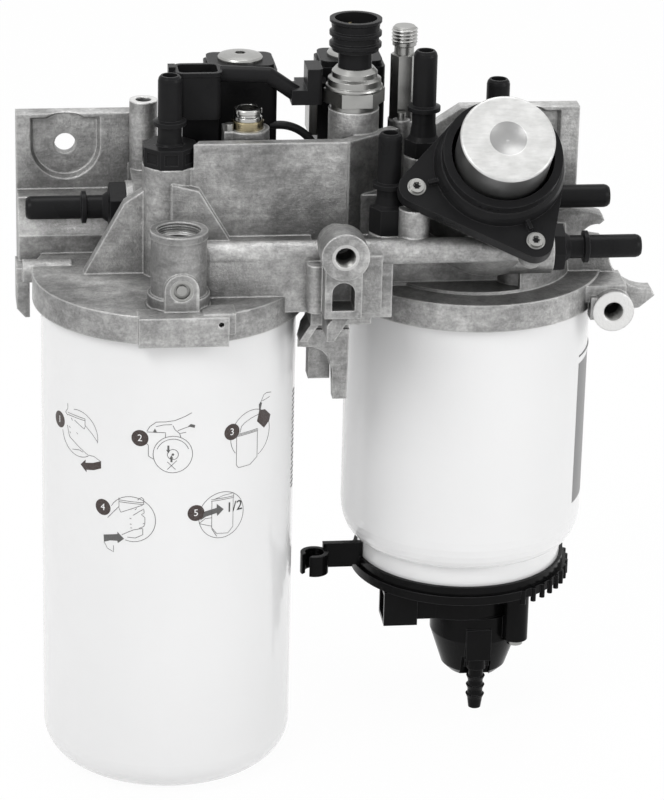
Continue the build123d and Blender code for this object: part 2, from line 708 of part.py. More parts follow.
def floor_bosses():
    """Machined seats on the tub floor and beside it."""
    seats = post(CHECK_SEAT_RADIUS, CHECK_X, CHECK_Y, FLOOR_Z, CHECK_SEAT_Z)
    seats += slab((CHECK_X - 10.3, CHECK_Y - 6, FLOOR_Z), (CHECK_X, CHECK_Y + 6, CHECK_SEAT_Z))
    seats += post(SENSOR_SEAT_RADIUS, SENSOR_X, SENSOR_Y, FLOOR_Z - 5, SENSOR_SEAT_Z)
    seats += post(TEST_SEAT_RADIUS, TEST_X, TEST_Y, 10, TEST_SEAT_Z)
    seats += post(SMALL_HEAD_RADIUS + 1.6, *SMALL_SCREWS[1], 10, SMALL_SCREW_Z)
    seats += post(TALL_SEAT_RADIUS, TALL_X, TALL_Y, POCKET_TOP_Z, TALL_SEAT_Z)
    seats += post(SHORT_SEAT_RADIUS, SHORT_X, SHORT_Y, POCKET_TOP_Z, SHORT_SEAT_Z)
    r = PIPE_SEAT_RADIUS
    for place, radius, reach in ((LEFT_PIPE, r, 17), (LOW_PIPE, r, 33), (HIGH_PIPE, r - 2, 33)):
        seats += place * Pos(0, 0, -reach) * upright(radius, reach)
    low = (POCKET_RIGHT_X, HIGH_PIPE_Y - 8, 10)
    seats += slab(low, (HIGH_PIPE_SEAT_X - 4, PLATE_FRONT_Y, HIGH_PIPE_Z))
    return seats + post(POST_RADIUS, POST_X, POST_Y, 10, POST_TOP)


def lobed_outline(core, lobe):
    """A disc drawn out to the three screw places, as a face on the primer's own plane."""
    circles = Sketch() + [Circle(core)] + [Pos(*place) * Circle(lobe) for place in lobe_places()]
    return make_hull(circles.edges())


def lobed_plate(core, lobe, low, high):
    return PUMP_FRAME * Pos(0, 0, low) * extrude(lobed_outline(core, lobe), high - low)


def pump_seat():
    under = -PUMP_FLANGE_THICKNESS
    seat = along_pump(PUMP_SEAT_RADIUS, PUMP_SEAT_LOW, under - 1)
    seat += lobed_plate(PUMP_SEAT_RADIUS - 2.5, LOBE_RADIUS - 2.5, under - PUMP_SEAT_PLATE, under)
    for x, y in lobe_places():
        seat += along_pump(LOBE_RADIUS - 2.5, PUMP_LOBE_LOW, under - 2, x, y)
    seat += post(CORNER_POST_RADIUS, CORNER_POST_X, CORNER_POST_Y, 0, CORNER_POST_TOP_Z)
    left = PUMP_FRAME.from_local_coords(Vector(*lobe_places()[0], PUMP_LOBE_LOW))
    return seat + post(LOBE_POST_RADIUS, left.X, GALLERY_Y + LOBE_POST_RADIUS - 1, GALLERY_Z, left.Z + 1)


def pump_seat_cuts():
    under = -PUMP_FLANGE_THICKNESS
    cut = along_pump(COLLAR_RADIUS - 1, PUMP_WELL_FLOOR - WELL_FLOOR, under)
    cut += along_pump(ROD_RADIUS + ROD_ROOM, PUMP_ROD_END - PUMP_STROKE - 4, under)
    for x, y in lobe_places():
        cut += along_pump(SCREW_RADIUS, under - SCREW_LENGTH, under, x, y)
    return cut


def pipe_room():
    """Clear space round the pipe ends that stand close to the castings."""
    room = post(TALL_SEAT_RADIUS + 1, TALL_X, TALL_Y, TALL_SEAT_Z, 110)
    room += post(SHORT_SEAT_RADIUS + 0.5, SHORT_X, SHORT_Y, SHORT_SEAT_Z, 80)
    room += post(REAR_BASE_RADIUS + 0.4, REAR_X, REAR_Y, REAR_SEAT_Z, 90)
    room += post(TEST_HEX_RADIUS + 0.3, TEST_X, TEST_Y, TEST_SEAT_Z, TEST_SEAT_Z + 5)
    room += LOW_PIPE * upright(PIPE_SEAT_RADIUS, LOW_CAP_HEIGHT + 3)
    return room + post(CAP_RADIUS + 0.4, 0, 0, OUTLET_BOSS_TOP, 80)


def pipe_bores():
    """Spigot holes under the push-on pipe ends and the screwed fittings."""
    cut = None
    for place, depth in ((LEFT_PIPE, 20), (LOW_PIPE, 20), (HIGH_PIPE, 20), (CENTRE_PIPE, 46), (TALL_PIPE, 20),
                         (SHORT_PIPE, SPIGOT_LENGTH + 1), (REAR_PIPE, 12)):
        tool = place * Pos(0, 0, -SPIGOT_LENGTH) * upright(SPIGOT_RADIUS, SPIGOT_LENGTH)
        tool += place * Pos(0, 0, -depth) * upright(PIPE_BORE, depth)
        cut = tool if cut is None else cut + tool
    for x, y, z in ((CHECK_X, CHECK_Y, CHECK_SEAT_Z), (SENSOR_X, SENSOR_Y, SENSOR_SEAT_Z),
                    (TEST_X, TEST_Y, TEST_SEAT_Z)):
        cut += post(SPIGOT_RADIUS, x, y, z - FITTING_THREAD, z)
    for x, y in SMALL_SCREWS:
        cut += post(SMALL_SCREW_RADIUS, x, y, SMALL_SCREW_Z - SMALL_SCREW_LENGTH, SMALL_SCREW_Z)
    return cut + post(LEAD_RADIUS, LEAD_END_X, LEAD_Y, FLOOR_Z - LEAD_SINK, FLOOR_Z)


def build_head():
    head = heads() + back_plates() + centre_body()
    head += tub_walls()
    head += gallery()
    head -= front_pocket()
    head += outlet_boss()
    head += front_port()
    head += centre_boss()
    head += middle_bracket()
    head += side_bracket()
    head += left_lug()
    head -= plate_reliefs()
    head += floor_bosses()
    head += pump_seat()
    head -= pump_seat_cuts()
    head -= pipe_room()
    head -= front_port_cuts()
    head -= centre_boss_cuts()
    head -= pipe_bores()
    x, z = SIDE_BOSS_X, SIDE_BOSS_Z
    head -= rod(SIDE_HOLE_RADIUS, (x, SIDE_BOSS_FACE_Y, z), (x, SIDE_BOSS_FACE_Y + SIDE_HOLE_DEPTH, z))
    head -= post(POST_HOLE_RADIUS, POST_X, POST_Y, POST_TOP - POST_HOLE_DEPTH, POST_TOP)
    for x, y, seat in ((0, 0, 0), (*SEP, SEP_SEAT_Z)):
        head -= underside_cuts(x, y, seat)
    # Room for the cans under the castings that reach down beside them
    head -= post(MAIN_RADIUS + CAN_CLEARANCE, 0, 0, -60, 0)
    head -= post(SEP_RADIUS + CAN_CLEARANCE, *SEP, -60, SEP_SEAT_Z)
    return head


def moved_out(shape):
    """Carries a shape from the working frame to the part's own frame, on the engine mount."""
    return Pos(*(-c for c in ENGINE_MOUNT)) * shape


def write(shape, node):
    export_step(moved_out(shape), f"parts/{node}.step")


def core_plug():
    """The pressed cup plug in the front of the port."""
    front = PORT_Y - PORT_RADIUS - TAB_PROUD
    x, z = PORT_X + TAB_OFFSET, PLUG_Z
    plug = rod(PLUG_RADIUS, (x, front, z), (x, front + PLUG_DEPTH, z))
    plug -= rod(PLUG_RADIUS - 1.2, (x, front, z), (x, front + PLUG_DEPTH / 2, z))
    return plug + rod(PLUG_CENTRE_RADIUS, (x, front + 0.5, z), (x, front + PLUG_DEPTH, z))


def stud(x, y, seat):
    """The hollow threaded stud that a spin-on filter turns up on."""
    bar = post(STUD_RADIUS, x, y, seat - STUD_REACH, seat + STUD_DEPTH)
    bar = chamfer(bar.edges().sort_by(Axis.Z)[0], 1)
    return bar - post(STUD_BORE, x, y, seat - STUD_REACH, seat + STUD_DEPTH)


def shell(radius, wall, low, high, corner):
    """A deep-drawn can: a closed round bottom with a rolled corner, open at the top."""
    outer = post(radius, 0, 0, low, high)
    outer = fillet(outer.edges().sort_by(Axis.Z)[0], corner)
    inner = post(radius - wall, 0, 0, low + wall, high)
    return outer - fillet(inner.edges().sort_by(Axis.Z)[0], corner - wall)


def base_plate(radius, seat):
    """The threaded plate that closes a can, with its gasket groove and ring of inlet holes."""
    top = seat - SEAM_GAP
    low = top - BASE_PLATE_THICKNESS
    thread = STUD_RADIUS + THREAD_CLEARANCE
    collar = low - COLLAR_DEPTH
    plate = turned([
        (thread, top), (radius, top), (radius, low), (COLLAR_OUTER, low), (COLLAR_OUTER, collar),
        (thread, collar),
    ])
    groove = post(GASKET_OUTER + SEAL_CLEARANCE, 0, 0, top - GASKET_GROOVE_DEPTH, top)
    plate -= groove - post(GASKET_INNER - SEAL_CLEARANCE, 0, 0, top - GASKET_GROOVE_DEPTH, top)
    for place in PolarLocations(INLET_CIRCLE, INLET_HOLE_COUNT):
        plate -= place * post(INLET_HOLE_RADIUS, 0, 0, low, top)
    return plate


def gasket(outer, inner, low, high):
    ring = post(outer, 0, 0, low, high) - post(inner, 0, 0, low, high)
    return fillet(ring.edges().group_by(Axis.Z)[-1], 0.8)


def base_gasket(seat):
    return gasket(GASKET_OUTER, GASKET_INNER, seat - SEAM_GAP - GASKET_GROOVE_DEPTH, seat)


def pleats(outer, low, high):
    """The folded filter paper round its centre tube."""
    points = []
    for fold in range(2 * PLEAT_COUNT):
        radius = outer - (fold % 2) * PLEAT_DEPTH
        turn = math.pi * fold / PLEAT_COUNT
        points.append((radius * math.cos(turn), radius * math.sin(turn)))
    star = make_face(Polyline(*points, close=True))
    return Pos(0, 0, low) * extrude(star, high - low) - post(TUBE_RADIUS, 0, 0, low, high)


def centre_tube(low, high):
    """The perforated tube inside the paper."""
    tube = post(TUBE_RADIUS, 0, 0, low, high) - post(TUBE_RADIUS - TUBE_WALL, 0, 0, low, high)
    rows = int((high - low) // TUBE_HOLE_PITCH)
    first = (low + high - (rows - 1) * TUBE_HOLE_PITCH) / 2
    for row in range(rows):
        z = first + row * TUBE_HOLE_PITCH
        tube -= rod(TUBE_HOLE_RADIUS, (-TUBE_RADIUS, 0, z), (TUBE_RADIUS, 0, z))
        tube -= rod(TUBE_HOLE_RADIUS, (0, -TUBE_RADIUS, z), (0, TUBE_RADIUS, z))
    return tube


def end_cap(outer, bore, low):
    cap = post(outer, 0, 0, low, low + END_CAP_THICKNESS)
    return cap - post(bore, 0, 0, low, low + END_CAP_THICKNESS) if bore else cap


def dished_spring(low_radius, high_radius, low, high):
    """The sheet spring that lifts the element against the base plate."""
    w = SPRING_WALL
    rim = high_radius + 3 * w
    return turned([
        (low_radius, low), (low_radius + w, low), (high_radius + w, high - w), (rim, high - w),
        (rim, high), (high_radius, high),
    ])


def main_filter():
    """Pieces of the long spin-on filter, in the working frame."""
    bottom = -SEAM_GAP - MAIN_LENGTH
    element_top = -SEAM_GAP - BASE_PLATE_THICKNESS - ELEMENT_GAP - END_CAP_THICKNESS
    element_low = bottom + SHELL_WALL + SPRING_HEIGHT + END_CAP_THICKNESS
    cap = ELEMENT_OUTER + CAP_OVERHANG
    return {
        "main_can": shell(MAIN_RADIUS, SHELL_WALL, bottom, -SEAM_GAP, MAIN_CORNER),
        "main_base_plate": base_plate(MAIN_RADIUS - SHELL_WALL, 0),
        "main_element": pleats(ELEMENT_OUTER, element_low, element_top),
        "main_centre_tube": centre_tube(element_low, element_top),
        "main_top_cap": end_cap(cap, COLLAR_OUTER, element_top),
        "main_bottom_cap": end_cap(cap, 0, element_low - END_CAP_THICKNESS),
        "main_spring": dished_spring(
            SPRING_RADIUS + 12, SPRING_RADIUS, bottom + SHELL_WALL, element_low - END_CAP_THICKNESS),
        "main_gasket": base_gasket(0),
    }


def separator_can():
    """The short can: a straight body, a rolled shoulder and the neck over the bowl."""
    top = SEP_SEAT_Z - SEAM_GAP
    low = RIM_TOP_Z + NECK_GAP
    shoulder = SEP_SHOULDER_Z
    w = SHELL_WALL
    drop = SEP_SHOULDER_DROP
    round_over = SEP_RADIUS - SEP_SHOULDER_RADIUS
    turns = [math.pi / 2 * step / SEP_SHOULDER_STEPS for step in range(SEP_SHOULDER_STEPS + 1)]
    outer = [(SEP_RADIUS, top)]
    outer += [(SEP_SHOULDER_RADIUS + round_over * math.cos(t), shoulder - drop * math.sin(t)) for t in turns]
    outer += [(SEP_NECK_RADIUS, shoulder - drop - w), (SEP_NECK_RADIUS, low), (SEP_NECK_RADIUS - w, low)]
    inner = [(SEP_NECK_RADIUS - w, shoulder - drop)]
    inner += [
        (SEP_SHOULDER_RADIUS - w + round_over * math.cos(t), shoulder - (drop - w) * math.sin(t))
        for t in reversed(turns)
    ]
    return turned(outer + inner + [(SEP_RADIUS - w, top)])


def separator():
    """Pieces of the water separator, about its own axis."""
    neck = SEP_NECK_RADIUS - SHELL_WALL
    plate_low = RIM_TOP_Z + NECK_GAP
    plate_top = plate_low + LOWER_PLATE_THICKNESS
    plate = post(neck, 0, 0, plate_low, plate_top)
    plate -= post(BOWL_NECK_RADIUS + THREAD_CLEARANCE, 0, 0, plate_low, plate_top)
    element_top = SEP_SEAT_Z - SEAM_GAP - BASE_PLATE_THICKNESS - ELEMENT_GAP - END_CAP_THICKNESS
    element_low = plate_top + LOWER_SPRING_HEIGHT + END_CAP_THICKNESS
    cap = SEP_ELEMENT_OUTER + CAP_OVERHANG
    spring = BOWL_NECK_RADIUS + 5
    pieces = {
        "separator_can": separator_can(),
        "separator_base_plate": base_plate(SEP_RADIUS - SHELL_WALL, SEP_SEAT_Z),
        "separator_lower_plate": plate,
        "separator_element": pleats(SEP_ELEMENT_OUTER, element_low, element_top),
        "separator_centre_tube": centre_tube(element_low, element_top),
        "separator_top_cap": end_cap(cap, COLLAR_OUTER, element_top),
        "separator_bottom_cap": end_cap(cap, 0, element_low - END_CAP_THICKNESS),
        "separator_spring": dished_spring(spring, spring - 2, plate_top, element_low - END_CAP_THICKNESS),
        "separator_gasket": base_gasket(SEP_SEAT_Z),
        "bowl_gasket": gasket(BOWL_GASKET_OUTER, BOWL_GASKET_INNER, RIM_TOP_Z - BOWL_GROOVE_DEPTH, plate_low),
    }
    return {node: Pos(*SEP, 0) * shape for node, shape in pieces.items()}


def sump():
    """The off-centre drain well under the bowl, notched at the front for the tap."""
    low = SUMP_TIP_Z
    outline = [
        (0, BOWL_FLOOR_Z), (SUMP_RADIUS, BOWL_FLOOR_Z), (SUMP_RADIUS, SUMP_SHOULDER_Z),
        (SUMP_TIP_RADIUS, low + SUMP_TIP_CORNER), (SUMP_TIP_RADIUS - SUMP_TIP_CORNER, low), (0, low),
    ]
    well = turned(outline, SUMP_X, SUMP_Y)
    back = VALVE_Y + BARB_RADIUS + TAP_ROOM
    x = VALVE_HALF + 1
    well -= slab((VALVE_X - x, SUMP_Y - SUMP_RADIUS - 2, low), (VALVE_X + x, back, VALVE_LOW_Z))
    half = VALVE_HALF
    block = slab((VALVE_X - half, VALVE_Y - half, VALVE_LOW_Z), (VALVE_X + half, SUMP_Y, VALVE_TOP_Z))
    return well + block


def bowl():
    """The moulded water bowl with its threaded neck, drain well, sensor socket and screw boss."""
    x, y = SEP
    top = RIM_TOP_Z
    rim_low = top - BOWL_RIM_HEIGHT
    body = post(BOWL_RIM_RADIUS, x, y, rim_low, top)
    body += post(BOWL_RADIUS, x, y, BOWL_FLOOR_Z, top)
    body += post(BOWL_NECK_RADIUS, x, y, top, top + BOWL_NECK_HEIGHT)
    for step in range(GRIP_TOOTH_COUNT):
        turn = math.radians(GRIP_START + step * GRIP_STEP)
        tooth_x, tooth_y = x + BOWL_RIM_RADIUS * math.cos(turn), y + BOWL_RIM_RADIUS * math.sin(turn)
        body += post(GRIP_TOOTH_RADIUS, tooth_x, tooth_y, rim_low - GRIP_TOOTH_DROP, top)
    body += sump()
    body += post(DRAIN_BOSS_RADIUS, DRAIN_SCREW_X, DRAIN_SCREW_Y, DRAIN_BOSS_LOW_Z, rim_low)
    body += sensor_socket_block()
    body -= sensor_socket_room()
    room = post(BOWL_RADIUS - BOWL_WALL, x, y, BOWL_FLOOR_Z + BOWL_WALL, top + BOWL_NECK_HEIGHT)
    room -= post(BOWL_RADIUS, x, y, top - 4, top + BOWL_NECK_HEIGHT) - post(
        BOWL_NECK_RADIUS - BOWL_WALL, x, y, top - 4, top + BOWL_NECK_HEIGHT)
    body -= room
    body -= post(SUMP_RADIUS - BOWL_WALL, SUMP_X, SUMP_Y, VALVE_TOP_Z, BOWL_FLOOR_Z + BOWL_WALL)
    body -= post(SUMP_TIP_RADIUS - 5, SUMP_X, SUMP_Y + 2, SUMP_TIP_Z + BOWL_WALL, VALVE_TOP_Z)
    groove = post(BOWL_GASKET_OUTER + SEAL_CLEARANCE, x, y, top - BOWL_GROOVE_DEPTH, top)
    body -= groove - post(BOWL_GASKET_INNER - SEAL_CLEARANCE, x, y, top - BOWL_GROOVE_DEPTH, top)
    body -= post(TAP_STEM_RADIUS + TAP_CLEARANCE, VALVE_X, VALVE_Y, VALVE_LOW_Z, VALVE_TOP_Z - 2)
    low = DRAIN_BOSS_LOW_Z
    return body - post(DRAIN_SCREW_RADIUS, DRAIN_SCREW_X, DRAIN_SCREW_Y, low, low + DRAIN_SCREW_LENGTH)


def sensor_socket_block():
    low, high = LEVEL_SOCKET_LOW, LEVEL_SOCKET_HIGH
    block = slab(low, high)
    neck = slab((high[0] - 2, low[1] + 2, low[2] + 2), (SEP_X - 8, high[1], high[2]))
    return block + neck - post(BOWL_RADIUS - 1, *SEP, low[2] - 1, high[2] + 1)


def sensor_socket_room():
    """The socket's mouth, which opens to the left."""
    w = SOCKET_WALL
    low, high = LEVEL_SOCKET_LOW, LEVEL_SOCKET_HIGH
    return slab((low[0], low[1] + w, low[2] + w), (low[0] + LEVEL_SOCKET_DEPTH, high[1] - w, high[2] - w))


def level_pins():
    """Two contact pins in the bowl's socket."""
    low, high = LEVEL_SOCKET_LOW, LEVEL_SOCKET_HIGH
    x = low[0] + LEVEL_SOCKET_DEPTH
    middle = (low[1] + high[1]) / 2
    z = (low[2] + high[2]) / 2
    rows = (middle - PIN_PITCH / 2, middle + PIN_PITCH / 2)
    return [rod(PIN_WIDTH / 2, (x - LEVEL_PIN_REACH, y, z), (x + PIN_SINK, y, z)) for y in rows]


def bowl_ring():
    """The loose black ring over the bowl's rim, with its arm and lead clip."""
    x, y = SEP
    low, high = RIM_TOP_Z, RIM_TOP_Z + RING_HEIGHT
    ring = post(RING_RADIUS, x, y, low, high)
    clip_top = CLIP_Z + CLIP_WIDTH
    arm_end = (x - RING_RADIUS + 3, CLIP_ARM_Y + CLIP_ARM_THICKNESS, clip_top + 2)
    ring += slab((CLIP_X + CLIP_INNER, CLIP_ARM_Y, CLIP_Z), arm_end)
    ring += post(CLIP_OUTER, CLIP_X, CLIP_Y, CLIP_Z, clip_top)
    ring -= post(CLIP_INNER, CLIP_X, CLIP_Y, CLIP_Z, clip_top)
    mouth = Box(CLIP_OUTER + 1, CLIP_GAP, CLIP_WIDTH, align=(Align.MIN, Align.CENTER, Align.MIN))
    ring -= Pos(CLIP_X, CLIP_Y, CLIP_Z) * Rot(0, 0, 225) * mouth
    ring -= post(BOWL_RIM_RADIUS + GRIP_TOOTH_RADIUS + BOWL_CLEARANCE, x, y, CLIP_Z - 1, low)
    return ring - post(SEP_NECK_RADIUS + BOWL_CLEARANCE, x, y, low, clip_top + 20)


def drain_screw():
    x, y = DRAIN_SCREW_X, DRAIN_SCREW_Y
    low = DRAIN_BOSS_LOW_Z
    screw = post(DRAIN_SCREW_RADIUS, x, y, low - 2.5, low + DRAIN_SCREW_LENGTH)
    return screw - post(1.6, x, y, low - 2.5, low - 0.5)


def drain_tap():
    """The turning drain tap: stem, winged collar and a barbed outlet."""
    low = TAP_END_Z
    top = VALVE_TOP_Z - 4
    seat = VALVE_LOW_Z - TAP_SEAT_GAP
    points = [
        (TAP_BORE, top), (TAP_STEM_RADIUS, top), (TAP_STEM_RADIUS, seat), (BARB_RADIUS, seat),
        (BARB_RADIUS, seat - 5), (TAP_RADIUS, seat - 5.5),
    ]
    for barb in (0, 1, 2):
        z = seat - 9 - barb * TAP_BARB_PITCH
        points += [(TAP_RADIUS, z), (BARB_RADIUS - 0.2, z - 0.2), (TAP_RADIUS, z - 2.2)]
    points += [(TAP_RADIUS - 0.6, low), (TAP_BORE, low)]
    tap = turned(points, VALVE_X, VALVE_Y)
    edge, root = VALVE_X - VALVE_HALF, VALVE_X - TAP_STEM_RADIUS
    wing = slab((edge, VALVE_Y - 1, seat - 4.5), (root, VALVE_Y + 1, seat - 0.5))
    return tap + wing + mirror(wing, Plane.YZ.offset(VALVE_X))


def pipe_end(length, ring, base, base_radius, flare, sides=6):
    """A push-on pipe end from its seat upwards: spigot, hexagon, flare, tube, snap ring and nose."""
    r, bore = PIPE_RADIUS, PIPE_BORE
    wide = base_radius * math.cos(math.pi / sides)
    foot = [(bore, -SPIGOT_LENGTH), (SPIGOT_RADIUS, -SPIGOT_LENGTH), (SPIGOT_RADIUS, 0), (wide, 0), (wide, base)]
    waist = [(r + (wide - r) * 0.35, base + flare * 0.25), (r, base + flare), (r, ring - 1.4)]
    band = [(r + PIPE_RING, ring - 0.9), (r + PIPE_RING, ring + 0.9), (r, ring + 1.4)]
    nose = [(r, length - PIPE_NOSE), (r - 0.35, length - 0.9), (r - 1.1, length), (bore, length)]
    hexagon = prism(base_radius, sides, 0, base)
    return turned(foot + waist + band + nose) + (hexagon - post(r, 0, 0, 0, base))


def pipe_ends():
    return {
        "left_pipe": LEFT_PIPE * pipe_end(LEFT_LENGTH, LEFT_RING, LEFT_BASE, LEFT_BASE_RADIUS, 3),
        "high_pipe": HIGH_PIPE * pipe_end(HIGH_LENGTH, HIGH_RING, HIGH_BASE, HIGH_BASE_RADIUS, 1),
        "low_pipe": LOW_PIPE * pipe_end(LOW_LENGTH, LOW_RING, LOW_CAP_HEIGHT, LOW_CAP_RADIUS, 3, 8),
        "centre_pipe": CENTRE_PIPE * pipe_end(CENTRE_LENGTH, CENTRE_RING, CAP_HEIGHT, CENTRE_CORE_RADIUS, 3.5, 8),
        "tall_pipe": TALL_PIPE * pipe_end(TALL_LENGTH, TALL_RING, TALL_BASE, TALL_SEAT_RADIUS, 7),
        "short_pipe": SHORT_PIPE * pipe_end(SHORT_LENGTH, SHORT_RING, SHORT_BASE, SHORT_SEAT_RADIUS, 5),
        "rear_pipe": REAR_PIPE * pipe_end(REAR_LENGTH, REAR_RING, REAR_BASE, REAR_BASE_RADIUS, 4),
    }


def centre_cap(inner):
    """The octagonal cap round the middle pipe, with rectangular pockets in its sides."""
    cap = prism(CAP_RADIUS, 8, 0, CAP_HEIGHT, 22.5) - inner
    for side in range(8):
        pocket = Box(3, CAP_POCKET_WIDTH, CAP_POCKET_HEIGHT)
        cap -= Rot(0, 0, side * 45) * Pos(CAP_RADIUS, 0, CAP_HEIGHT / 2) * pocket
    return cap


def socket_shell():
    """The rectangular plug socket on its stepped foot."""
    x, y = SOCKET_LEFT_X, SOCKET_FRONT_Y
    right, back = x + SOCKET_WIDTH, y + SOCKET_DEPTH
    rim_low = SOCKET_TOP_Z - SOCKET_RIM_HEIGHT
    rim = slab((x, y, rim_low), (right, back, SOCKET_TOP_Z))
    rim = fillet(rim.edges().filter_by(Axis.Z), SOCKET_CORNER)
    thin = SOCKET_RIM_INSET
    body = slab((x + thin, y + thin, SOCKET_STEP_Z), (right - thin, back - thin, rim_low))
    body = rim + fillet(body.edges().filter_by(Axis.Z), SOCKET_CORNER - thin)
    inset = SOCKET_FOOT_INSET
    body += slab((x + inset, y + inset + 1, FLOOR_Z), (right - SOCKET_FOOT_RIGHT_INSET, back - 1, SOCKET_STEP_Z))
    latch_top = SOCKET_TOP_Z + SOCKET_LATCH_TOP
    body += slab((x - 2.4, y + 5, SOCKET_TOP_Z - 8), (x + thin, y + 10.5, latch_top))
    w = SOCKET_WALL
    mouth = slab((x + w, y + w, SOCKET_FLOOR_Z), (right - w, back - w, latch_top))
    return body - fillet(mouth.edges().filter_by(Axis.Z), SOCKET_CORNER - w)


def pin_rows(x, y, across, along):
    """Square contact pins on a grid about a point."""
    for column in range(across):
        for row in range(along):
            yield x + (column - (across - 1) / 2) * PIN_PITCH, y + (row - (along - 1) / 2) * PIN_PITCH


def socket_pins():
    x, y = SOCKET_LEFT_X + SOCKET_WIDTH / 2, SOCKET_FRONT_Y + SOCKET_DEPTH / 2
    half = PIN_WIDTH / 2
    low, high = SOCKET_FLOOR_Z - PIN_SINK, SOCKET_FLOOR_Z + PIN_HEIGHT
    return [
        slab((px - half, py - half, low), (px + half, py + half, high)) for px, py in pin_rows(x, y, 3, 2)
    ]


def coil(left, width, front):
    """One solenoid valve: the moulded coil, its top plate and the round nut."""
    back = front + COIL_DEPTH
    body = slab((left, front, FLOOR_Z), (left + width, back, FLOOR_Z + COIL_HEIGHT))
    body = fillet(body.edges().filter_by(Axis.Z), COIL_CORNER)
    top = FLOOR_Z + COIL_HEIGHT
    plate = slab((left + 1, front + 1, top), (left + width - 1, back - 1, top + COIL_CAP_HEIGHT))
    plate = fillet(plate.edges().filter_by(Axis.Z), COIL_CORNER + 1)
    x, y = left + width / 2, front + COIL_DEPTH / 2
    nut_top = top + COIL_CAP_HEIGHT + COIL_NUT_HEIGHT
    r, low = COIL_NUT_RADIUS, top + COIL_CAP_HEIGHT
    nut = turned([
        (0, low), (r, low), (r, low + COIL_NUT_EDGE), (r * 0.94, nut_top - 1), (r * 0.7, nut_top - 0.35),
        (r * 0.4, nut_top), (0, nut_top),
    ], x, y)
    nut -= Pos(x, y, 0) * prism(NUT_HEX_RADIUS, 6, nut_top - 1.2, nut_top)
    return body, plate, nut


def coil_strip():
    """The steel strip on the side of the second coil."""
    x, y, z = COIL_B_LEFT_X, COIL_B_FRONT_Y + COIL_CORNER + 1, STRIP_LOW_Z
    return slab((x - STRIP_THICKNESS, y, z), (x, y + STRIP_DEPTH, z + STRIP_HEIGHT))


def harness_lead():
    """The short lead from the front coil down through its grommet."""
    start = COIL_A_LEFT_X + COIL_A_WIDTH - LEAD_SINK
    path = FilletPolyline(
        (start, LEAD_Y, LEAD_Z), (LEAD_END_X, LEAD_Y, LEAD_Z), (LEAD_END_X, LEAD_Y, FLOOR_Z - LEAD_SINK),
        radius=LEAD_BEND,
    )
    section = Plane(origin=path @ 0, z_dir=path % 0) * Circle(LEAD_RADIUS)
    return sweep(section, path)


def grommet(lead):
    ring = post(GROMMET_RADIUS, LEAD_END_X, LEAD_Y, FLOOR_Z, FLOOR_Z + GROMMET_HEIGHT)
    return fillet(ring.edges().group_by(Axis.Z)[-1], 1) - lead


def harness():
    """The moulded duct from the socket over to the second coil's plug."""
    x = SOCKET_LEFT_X + SOCKET_WIDTH
    z = ARM_Z
    knee, end = (x + 20, ARM_Y, z - 1), (PLUG_BOX_LEFT_X + 3, ARM_Y - 1, PLUG_BOX_Z + 3)
    arm = rod(ARM_RADIUS, (x - 0.5, ARM_Y, z), knee) + rod(ARM_RADIUS, knee, end)
    arm += Pos(*knee) * Sphere(ARM_RADIUS)
    left, front = PLUG_BOX_LEFT_X, PLUG_BOX_FRONT_Y
    back = front + PLUG_BOX_DEPTH
    low = PLUG_BOX_Z
    plug = slab((left, front, low), (left + 6.5, back, low + PLUG_BLOCK_HEIGHT))
    plug += slab((left + 6.5, front, low), (left + 13, back, low + PLUG_BODY_HEIGHT))
    plug = fillet(plug.edges().filter_by(Axis.Z).group_by(Axis.X)[-1], 2)
    plug += slab((left + 3, back - 4, low), (COIL_B_LEFT_X + 2.5, COIL_B_FRONT_Y, low + PLUG_BLOCK_HEIGHT))
    return arm - socket_shell() - plug, plug


def pressure_sensor():
    """The sensor's hexagon body with its threaded foot."""
    z = SENSOR_SEAT_Z
    body = post(SPIGOT_RADIUS, 0, 0, z - FITTING_THREAD, z) + post(SENSOR_SEAT_RADIUS - 0.5, 0, 0, z, z + SENSOR_WASHER)
    body += prism(SENSOR_HEX_RADIUS, 6, z + SENSOR_WASHER, z + SENSOR_HEX_TOP)
    return Pos(SENSOR_X, SENSOR_Y, 0) * body


def sensor_crimp():
    low, top = SENSOR_SEAT_Z + SENSOR_HEX_TOP, SENSOR_SEAT_Z + SENSOR_CRIMP_TOP
    bead, barrel, lip = SENSOR_BEAD_RADIUS, SENSOR_BARREL_RADIUS, SENSOR_LIP_RADIUS
    edge = bead - SENSOR_BEAD_ROUND
    barrel_top = low + SENSOR_BARREL_HEIGHT
    ring = turned([
        (0, low), (edge, low), (bead, low + SENSOR_BEAD_HEIGHT * 3 / 7), (edge, low + SENSOR_BEAD_HEIGHT),
        (barrel, low + SENSOR_BEAD_HEIGHT + SENSOR_STEP), (barrel, barrel_top),
        (lip, barrel_top + SENSOR_BEVEL), (lip, top - SENSOR_LIP_ROLL), (SENSOR_MOUTH_RADIUS, top), (0, top),
    ])
    return Pos(SENSOR_X, SENSOR_Y, 0) * ring


